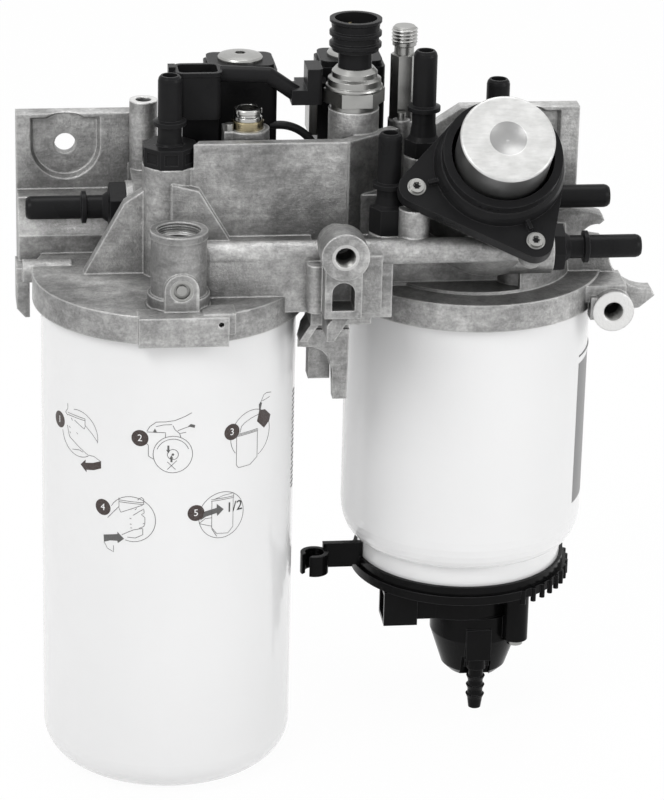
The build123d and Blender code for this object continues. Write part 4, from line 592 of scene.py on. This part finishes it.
def add_run(piece, points):
    """One run of straight lines through the points of a curve."""
    run = piece.data.splines.new("POLY")
    run.points.add(len(points) - 1)
    for point, place in zip(run.points, points):
        point.co = (*place, 1.0)
    return run


def cut_out(corners):
    """A flat shape with the given outline."""
    piece = new_curve("outline", "2D")
    piece.data.fill_mode = "BOTH"
    add_run(piece, [(across, up, 0.0) for across, up in corners]).use_cyclic_u = True
    return thicken(meshed(piece))


def arc(radius, start, end, step=10.0):
    """Points of a circle round the drawing's middle, between two angles in degrees."""
    count = max(2, round(abs(end - start) / step))
    angles = [math.radians(start + (end - start) * k / count) for k in range(count + 1)]
    return [(radius * math.cos(angle), radius * math.sin(angle)) for angle in angles]


def divided(run):
    """The points of a run with more between them, so that its lines can follow a can."""
    points = [run[0]]
    for start, end in zip(run, run[1:]):
        parts = max(1, math.ceil(math.dist(start, end) / LINE_STEP))
        for k in range(1, parts + 1):
            points.append([a + (b - a) * k / parts for a, b in zip(start, end)])
    return points


def strokes(name, can, drawings, width, finish, body):
    """Printed lines on a can: each drawing is a turn, a height and its runs of points."""
    piece = new_curve(name, "3D")
    piece.data.bevel_depth = width / 2 * MM
    piece.data.bevel_resolution = 0
    piece.data.use_fill_caps = True
    for turn, height, runs in drawings:
        for run in runs:
            add_run(piece, [on_can(can, turn, height, *point) for point in divided(run)])
    return finished(meshed(piece), name, finish, body)


def along_pump(height):
    """A point of the primer's axis, so far above its foot."""
    return tuple(foot + height * part for foot, part in zip(PUMP_FOOT, PUMP_AXIS))


def stand(piece, foot, axis):
    """Turns a piece that was made up the Z axis along another axis, on its foot."""
    turn = Vector(UPWARDS).rotation_difference(Vector(axis)).to_matrix().to_4x4()
    piece.matrix_world = Matrix.Translation(at(*foot)) @ turn
    applied(piece)


def wind(piece, radius, pitch, turns):
    """Carries a flat section round and up the Z axis at a radius, and closes both ends."""
    choose(piece)
    sides = len(piece.data.vertices)
    bpy.ops.object.mode_set(mode="EDIT")
    bpy.ops.mesh.select_all(action="SELECT")
    bpy.ops.transform.rotate(value=QUARTER_TURN, orient_axis="X", center_override=ORIGIN)
    bpy.ops.transform.translate(value=(radius * MM, 0.0, 0.0))
    bpy.ops.object.mode_set(mode="OBJECT")
    coil = piece.modifiers.new("coil", "SCREW")
    coil.axis = "Z"
    coil.screw_offset = pitch * MM
    coil.iterations = turns
    coil.steps = WINDING_STEPS
    coil.render_steps = WINDING_STEPS
    bpy.ops.object.modifier_apply(modifier=coil.name)
    bpy.ops.object.mode_set(mode="EDIT")
    bpy.ops.mesh.select_mode(type="EDGE")
    bpy.ops.mesh.select_all(action="SELECT")
    bpy.ops.mesh.fill_holes(sides=sides)
    bpy.ops.mesh.select_all(action="SELECT")
    bpy.ops.mesh.normals_make_consistent(inside=False)
    bpy.ops.object.mode_set(mode="OBJECT")
    bpy.ops.object.shade_smooth_by_angle(angle=SMOOTH_ANGLE)


def thread(radius, depth, pitch, turns):
    """A thread's ridge: a small triangle carried up and round. Depth below 0 is a nut thread."""
    choose()
    bpy.ops.mesh.primitive_circle_add(vertices=3, radius=1.0, fill_type="NOTHING")
    piece = bpy.context.object
    # The triangle's tip is 1 from its middle and its base 0.5, so it is 1.5 deep
    section = (0.5 * pitch * MM, depth / 1.5 * MM, 1.0)
    middle = radius + depth / 3.0 - math.copysign(THREAD_ROOT, depth)
    bpy.ops.object.mode_set(mode="EDIT")
    bpy.ops.mesh.select_all(action="SELECT")
    bpy.ops.transform.resize(value=section, center_override=ORIGIN)
    bpy.ops.transform.rotate(value=QUARTER_TURN, orient_axis="Z", center_override=ORIGIN)
    bpy.ops.object.mode_set(mode="OBJECT")
    wind(piece, middle, pitch, turns)
    return piece


# Printed marks

# Each can: its axis in x and y, and its radius
MAIN_CAN = (0.0, 0.0, 54.0)
SEPARATOR_CAN = (134.5, 38.0, 53.5)

# Five fitting steps, each in a ring: turn, height and the lines round the ring's middle
STEP_DRAWINGS = (
    (-48.3, -46.5, (
        arc(10.4, 105, -10), arc(10.4, 188, 302), [(-6.6, 7.5), (3.8, 7.5)],
        [(-6.6, 6.6), (3.8, 6.6)], [(3.8, 7.5), (3.8, 4.4)],
        [(-2.3, 5.3), (0.6, 3.9), (3.3, 2.8), (4.0, 4.5), (7.4, 1.8), (10.1, -1.1)],
        [(-6.9, 1.7), (-6.2, -1.2), (-5.4, -3.1), (-0.6, -5.6), (5.3, -8.4)],
        [(-3.6, -8.2), (0.4, -7.4), (2.6, -7.8)],
        [(-6.6, 11.6), (-6.6, 9.2), (-8.2, 7.2), (-6.6, 6.2)], [(-4.4, 5.6), (-3.6, 4.7)],
        [(-5.7, 1.6), (-5.0, 1.0)], [(-5.4, -0.8), (-4.8, -1.4)], [(-1.2, 0.0), (-0.4, -0.5)],
        [(5.3, -8.4), (8.4, -8.2), (11.6, -9.6)],
    )),
    (-2.4, -49.7, (
        arc(8.2, 0, 360), arc(6.9, 20, 160), arc(2.3, 0, 360, 24), [(-2.3, -3.3), (1.1, -6.7)],
        [(-2.3, -6.7), (1.6, -2.8)], [(-10.8, 9.8), (-3.1, 9.8), (-3.1, 7.4)],
        [(-11.6, 5.3), (-10.2, 3.8), (-10.2, -0.9), (-8.1, -2.2)],
        [
            (-10.8, 10.2), (-9.6, 12.3), (-6.9, 14.4), (-3.1, 14.6), (0.8, 15.2), (5.0, 16.9),
            (7.8, 18.4),
        ],
        [(-7.0, 12.4), (-4.0, 13.2), (-0.4, 13.4)],
        [(0.0, 12.9), (0.8, 11.1), (2.7, 9.4), (3.3, 7.7)],
        [(2.0, 10.6), (4.2, 11.5), (7.4, 12.5)], [(3.0, 9.4), (5.4, 9.8)],
    )),
    (35.7, -45.5, (
        arc(10.8, -70, 218),
        [(-7.9, 0.4), (-7.9, -12.2), (-6.8, -13.6), (-0.8, -13.6), (3.2, -11.0), (3.2, 0.6)],
        [(-8.3, 0.6), (3.4, 0.6)], [(-8.3, 1.1), (3.4, 1.1)], [(-8.3, 1.6), (3.4, 1.6)],
        [(3.7, 7.8), (1.4, 7.6), (-0.8, 7.1), (-3.8, 6.0), (-5.5, 4.8), (-6.3, 2.1)],
        [(4.7, 12.4), (6.7, 15.7), (8.7, 16.2), (11.7, 15.5)], [(5.9, 13.2), (10.7, 13.8)],
        [(4.6, 12.6), (4.4, 9.4)],
    )),
    (-20.7, -79.9, (
        arc(10.2, 153, -106), [(-5.6, 8.0), (5.2, 8.0)], [(-5.6, 7.2), (5.2, 7.2)],
        [(-5.6, 9.0), (-5.6, 4.6)], [(5.2, 7.2), (5.2, 9.6), (4.2, 10.4), (2.6, 9.0)],
        [(-10.8, -1.0), (-5.8, 4.8), (-4.8, 2.5), (4.7, 6.9)],
        [(0.7, 1.9), (5.2, 5.2), (5.4, 3.4), (4.2, 2.5), (5.7, 1.4), (5.7, -1.2), (4.9, -1.5)],
        [(3.2, -3.8), (5.2, -2.8), (5.7, -1.5)],
        [(-4.3, -7.7), (-1.8, -6.2), (0.7, -4.8), (4.7, -3.7)],
        [(-1.9, -8.4), (1.6, -8.4), (4.8, -6.6), (4.8, -3.8)], [(1.4, 4.4), (2.2, 5.2)],
        [(-0.9, 0.3), (-0.1, 0.3)], [(-0.8, -2.3), (0.0, -2.3)], [(-0.5, -4.0), (0.2, -4.0)],
        [(-12.6, -12.5), (-11.0, -15.1), (-8.1, -16.2), (-8.1, -13.3)],
    )),
    (20.4, -79.0, (
        arc(10.4, 0, 360),
        [(-4.7, 6.8), (-4.7, -5.1), (-2.5, -8.1), (2.8, -8.8), (5.2, -6.3), (5.2, 6.9)],
        [(-5.0, 6.9), (5.4, 6.9)], [(-5.0, 7.6), (5.4, 7.6)],
        [(5.4, 6.9), (5.4, 9.0), (0.6, 8.8), (-3.6, 7.6)],
        [(-10.0, -2.4), (-7.6, -0.6), (-4.7, -0.6)], [(-10.2, -2.6), (-4.7, -4.4)],
        [(-4.7, -5.6), (-2.4, -9.4)],
    )),
)
ARROW_HEAD_DOWN = [
    (-1.9, 0.6), (-1.0, 2.1), (-1.5, 2.1), (-1.5, 4.0), (-2.3, 4.0), (-2.3, 2.1), (-2.8, 2.1),
]
ARROW_HEAD_UP = [
    (-0.6, -0.3), (0.2, -1.8), (-0.2, -1.8), (-0.2, -3.4), (-1.0, -3.4), (-1.0, -1.8),
    (-1.4, -1.8),
]
# Filled shapes: ink, the drawing that each belongs to, and its outline
STEP_SHAPES = (
    ("brown", 0, [
        (1.2, -13.6), (4.0, -10.8), (4.0, -12.2), (8.1, -11.2), (12.0, -9.5), (12.0, -12.8),
        (8.4, -14.4), (4.5, -15.2), (4.5, -16.3),
    ]),
    ("grey", 1, ARROW_HEAD_DOWN),
    ("grey", 1, ARROW_HEAD_UP),
    ("grey", 1, [(-8.3, 9.9), (-6.6, 9.9), (-7.5, 11.5)]),
    ("grey", 1, [(6.2, 12.4), (7.4, 13.4), (9.2, 12.8), (9.0, 11.6)]),
    ("grey", 1, arc(0.55, 0, 320, 40)),
    ("brown", 2, [(4.2, 9.5), (7.7, 9.0), (11.4, 5.6), (10.7, 3.1), (7.2, 0.8), (2.9, 4.9)]),
    ("grey", 2, [(3.9, 12.2), (4.9, 13.2), (5.7, 12.4), (4.8, 9.2), (4.1, 9.4)]),
    ("grey", 3, [
        (-12.8, -9.2), (-6.3, -7.7), (-6.3, -6.7), (-3.3, -9.4), (-6.1, -11.8), (-6.3, -10.8),
        (-9.6, -11.2), (-12.6, -12.5),
    ]),
    ("grey", 4, [
        (-9.7, -1.1), (-7.9, 2.7), (-2.5, 3.6), (-2.5, 5.4), (0.7, 2.5), (-2.2, -0.1), (-2.5, 1.3),
        (-7.3, 0.3),
    ]),
)
# The numbered discs: turn and height
STEP_DISCS = ((-61.5, -44.0), (-17.0, -42.9), (24.9, -42.3), (-34.6, -76.6), (8.1, -76.6))
DISC_RADIUS = 3.6
LINE_WIDTH = 0.24
NUMBER_SIZE = 4.3
HALF_TURN = (26.6, -76.4)
HALF_TURN_SIZE = 6.3

# The printed rows: where they stand, and their half lengths, which sway from row to row
ROWS_TURN = 75.0
ROWS_TOP = -38.0
ROW_COUNT = 22
ROW_PITCH = 2.1
ROW_HALF = 2.3
ROW_SWAY = 0.5
ROW_BEAT = 2.3
ROW_WIDTH = 0.55

# The separator's panel, and the line above it
PANEL_TURN = 103.0
PANEL_HEIGHT = -71.5
PANEL_SIZE = (84.0, 66.0)
PANEL_LINE = [(-42.0, 36.4), (42.0, 36.4)]
PANEL_LINE_WIDTH = 0.9


def print_steps():
    """The fitting steps round the front of the main can."""
    strokes("step_lines", MAIN_CAN, STEP_DRAWINGS, LINE_WIDTH, LINE_INK, "main_filter")
    for ink, finish in (("brown", BROWN_INK), ("grey", GREY_INK)):
        shapes = []
        for name, step, corners in STEP_SHAPES:
            if name == ink:
                turn, height, _ = STEP_DRAWINGS[step]
                shapes.append(wrap(cut_out(corners), MAIN_CAN, turn, height))
        finished(joined(shapes), f"step_{ink}_shapes", finish, "main_filter")
    discs, figures = [], []
    for number, (turn, height) in enumerate(STEP_DISCS, start=1):
        discs.append(wrap(round_patch(DISC_RADIUS), MAIN_CAN, turn, height))
        figures.append(wrap(figure(str(number), NUMBER_SIZE), MAIN_CAN, turn, height))
    finished(joined(discs), "step_discs", BROWN_INK, "main_filter")
    finished(joined(figures), "step_figures", WHITE_INK, "main_filter")
    half = wrap(figure("1/2", HALF_TURN_SIZE), MAIN_CAN, *HALF_TURN)
    finished(half, "half_turn", LINE_INK, "main_filter")


def print_rows():
    """A column of short printed rows on the main can's right side, with nothing to read in it."""
    rows = []
    for k in range(ROW_COUNT):
        half = ROW_HALF + ROW_SWAY * math.sin(ROW_BEAT * k)
        up = ROWS_TOP - ROW_PITCH * k
        rows.append([(-half, up), (half, up)])
    drawing = (ROWS_TURN, 0.0, rows)
    strokes("printed_rows", MAIN_CAN, (drawing,), ROW_WIDTH, GREY_INK, "main_filter")


def print_panel():
    """A plain grey panel on the separator's right side, under one thin line."""
    wide = wrap(panel(*PANEL_SIZE), SEPARATOR_CAN, PANEL_TURN, PANEL_HEIGHT)
    finished(wide, "side_panel", PANEL_INK, "separator")
    drawing = (PANEL_TURN, PANEL_HEIGHT, (PANEL_LINE,))
    strokes(
        "side_panel_line", SEPARATOR_CAN, (drawing,), PANEL_LINE_WIDTH, PANEL_INK, "separator",
    )


# Threads, spring and screws

# How far a thread's root is sunk into what carries it
THREAD_ROOT = 0.05
# The threads that show: name, foot, axis, sizes (radius, depth, pitch, turns), finish and slot
THREADS = (
    ("port_thread", (0.8, -40.0, 40.2), UPWARDS, (9.15, -0.5, 1.0, 3), CAST, "cast"),
    ("centre_boss_thread", (67.8, -54.4, 35.5), BACKWARDS, (4.25, -0.5, 1.25, 7), ZINC, "cast"),
    ("side_boss_thread", (192.0, 0.6, -11.0), BACKWARDS, (4.25, -0.5, 1.25, 7), ZINC, "cast"),
    ("test_port_thread", (101.0, 24.0, 103.6), UPWARDS, (5.1, 0.5, 1.5, 4), BRIGHT, "zinc"),
)
# The primer's return spring, from its low to its high end along the primer's axis
SPRING_LOW = -11.8
SPRING_HIGH = 22.3
SPRING_RADIUS = 9.0
SPRING_WIRE = 1.5
SPRING_TURNS = 6
WIRE_SIDES = 12
# The primer's two front screws, across and up its slope, and the dark flat stars that paint the
# shade of their star recesses
PUMP_SCREWS = ((-35.4, -8.6), (12.15, -34.3))
STAR_HEIGHT = 0.8
STAR_RADIUS = 1.28
STAR_LOBE = 0.3
STAR_LOBES = 6
STAR_CORNERS = 24


def cut_threads():
    """The threads that show: in the front port, in both tapped bosses and on the test port."""
    for name, foot, axis, sizes, finish, slot in THREADS:
        piece = thread(*sizes)
        stand(piece, foot, axis)
        finished(piece, name, finish, "head")


def return_spring():
    """The primer's spring, wound from round wire."""
    choose()
    bpy.ops.mesh.primitive_circle_add(
        vertices=WIRE_SIDES, radius=SPRING_WIRE * MM, fill_type="NOTHING")
    piece = bpy.context.object
    height = SPRING_HIGH - SPRING_LOW
    wind(piece, SPRING_RADIUS, (height - 2 * SPRING_WIRE) / SPRING_TURNS, SPRING_TURNS)
    stand(piece, along_pump(SPRING_LOW + SPRING_WIRE), PUMP_AXIS)
    finished(piece, "return_spring", ZINC, "head")
    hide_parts("pump_spring")
    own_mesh(piece)


def screw_stars():
    """Dark flat stars on the primer's two screws: painted shade where their star-shaped recesses
    are.
    """
    outline = []
    for k in range(STAR_CORNERS):
        angle = math.radians(360 / STAR_CORNERS * k)
        reach = STAR_RADIUS + STAR_LOBE * math.cos(STAR_LOBES * angle)
        outline.append((reach * math.cos(angle), reach * math.sin(angle)))
    x, y, z = along_pump(STAR_HEIGHT)
    stars = []
    for across, up in PUMP_SCREWS:
        star = cut_out(outline)
        choose(star)
        bpy.ops.transform.resize(value=(MM, MM, MM), center_override=ORIGIN)
        applied(star)
        slope = up * PUMP_LEAN
        stand(star, (x + across, y + slope, z + slope), PUMP_AXIS)
        stars.append(star)
    # Black flat stars: painted shade in place of the recesses
    finished(joined(stars), "screw_stars", PLASTIC, "head")


# Studio

# The floor lies just under the lowest piece
FLOOR_Z = CAD_BOX[0][2] - 0.0005
FLOOR_SIZE = 8.0
FLOOR_PLACE = (0.0, 2.0, FLOOR_Z)
FLOOR_GLOW = 0.96
ROOM_LEVEL = 0.58
BACKGROUND_LEVEL = 1.0
# Each lamp: name, place, size and power
LAMPS = (
    ("key", (-0.95, -1.0, 1.15), 0.8, 13.0),
    ("fill", (1.3, -0.9, 0.5), 0.7, 8.0),
    ("top", (0.1, 0.3, 1.5), 0.9, 9.5),
)
LAMP_TARGET = Vector((0.0, -0.05, -0.1))
# The photograph's view, solved from the cans' rims and the level plate tops
CAMERA_PLACE = Vector((-0.17535, -1.4795, 0.4717))
CAMERA_AZIMUTH = math.radians(-7.47)
CAMERA_ELEVATION = math.radians(21.75)
CAMERA_ROLL = math.radians(1.38)
CAMERA_LENS = 195.18
CAMERA_SENSOR = 36.0
CAMERA_NEAR = 0.05


def studio_floor():
    """A wide pale floor, seen almost as white as the room, that still keeps a faint shadow."""
    bpy.ops.mesh.primitive_plane_add(size=FLOOR_SIZE, location=FLOOR_PLACE)
    floor = bpy.context.object
    floor.name = "studio_floor"
    look = Recipe("studio_white", (0.9, 0.9, 0.9), 0.6)
    patches = look.noise(0.3, detail=2.0)
    look.set("Base Color", look.mix(patches, (0.9, 0.9, 0.9), (0.92, 0.92, 0.92)))
    lit = Socket(look, look.shader.outputs[0])
    glow = look.add("ShaderNodeEmission", Color=WHITE)
    blend = look.add("ShaderNodeMixShader", None, look.background_seen() * FLOOR_GLOW, lit, glow)
    look.feed(look.tree.nodes["Material Output"].inputs["Surface"], blend)
    floor.data.materials.append(look.material)


def studio_light():
    """A pale room, a broad key from the upper left, a weaker fill from the right, one above."""
    world = bpy.data.worlds.new("studio")
    bpy.context.scene.world = world
    world.use_nodes = True
    room = Nodes(world.node_tree)
    ground = room.tree.nodes["Background"]
    level = room.background_seen().ramp(0.0, 1.0, ROOM_LEVEL, BACKGROUND_LEVEL)
    room.feed(ground.inputs["Color"], WHITE)
    room.feed(ground.inputs["Strength"], level)
    for name, place, size, power in LAMPS:
        lamp = bpy.data.lights.new(name, "AREA")
        lamp.size = size
        lamp.energy = power
        holder = bpy.data.objects.new(name, lamp)
        bpy.context.collection.objects.link(holder)
        holder.location = place
        aim = LAMP_TARGET - Vector(place)
        holder.rotation_euler = aim.to_track_quat("-Z", "Y").to_euler()


def studio_camera():
    """The camera, from its place and its three angles."""
    level = math.cos(CAMERA_ELEVATION)
    back = Vector((
        math.sin(CAMERA_AZIMUTH) * level, -math.cos(CAMERA_AZIMUTH) * level,
        math.sin(CAMERA_ELEVATION),
    ))
    right = Vector((math.cos(CAMERA_AZIMUTH), math.sin(CAMERA_AZIMUTH), 0.0))
    up = back.cross(right)
    across = math.cos(CAMERA_ROLL) * right + math.sin(CAMERA_ROLL) * up
    above = math.cos(CAMERA_ROLL) * up - math.sin(CAMERA_ROLL) * right
    lens = bpy.data.cameras.new("camera")
    lens.sensor_fit = "HORIZONTAL"
    lens.sensor_width = CAMERA_SENSOR
    lens.lens = CAMERA_LENS
    lens.clip_start = CAMERA_NEAR
    camera = bpy.data.objects.new("camera", lens)
    bpy.context.collection.objects.link(camera)
    turn = Matrix((across, above, back)).transposed()
    camera.matrix_world = Matrix.Translation(CAMERA_PLACE) @ turn.to_4x4()
    bpy.context.scene.camera = camera


dress_frame()
print_steps()
print_rows()
print_panel()
cut_threads()
return_spring()
screw_stars()
studio_floor()
studio_light()
studio_camera()
bpy.context.scene.view_settings.view_transform = "Standard"
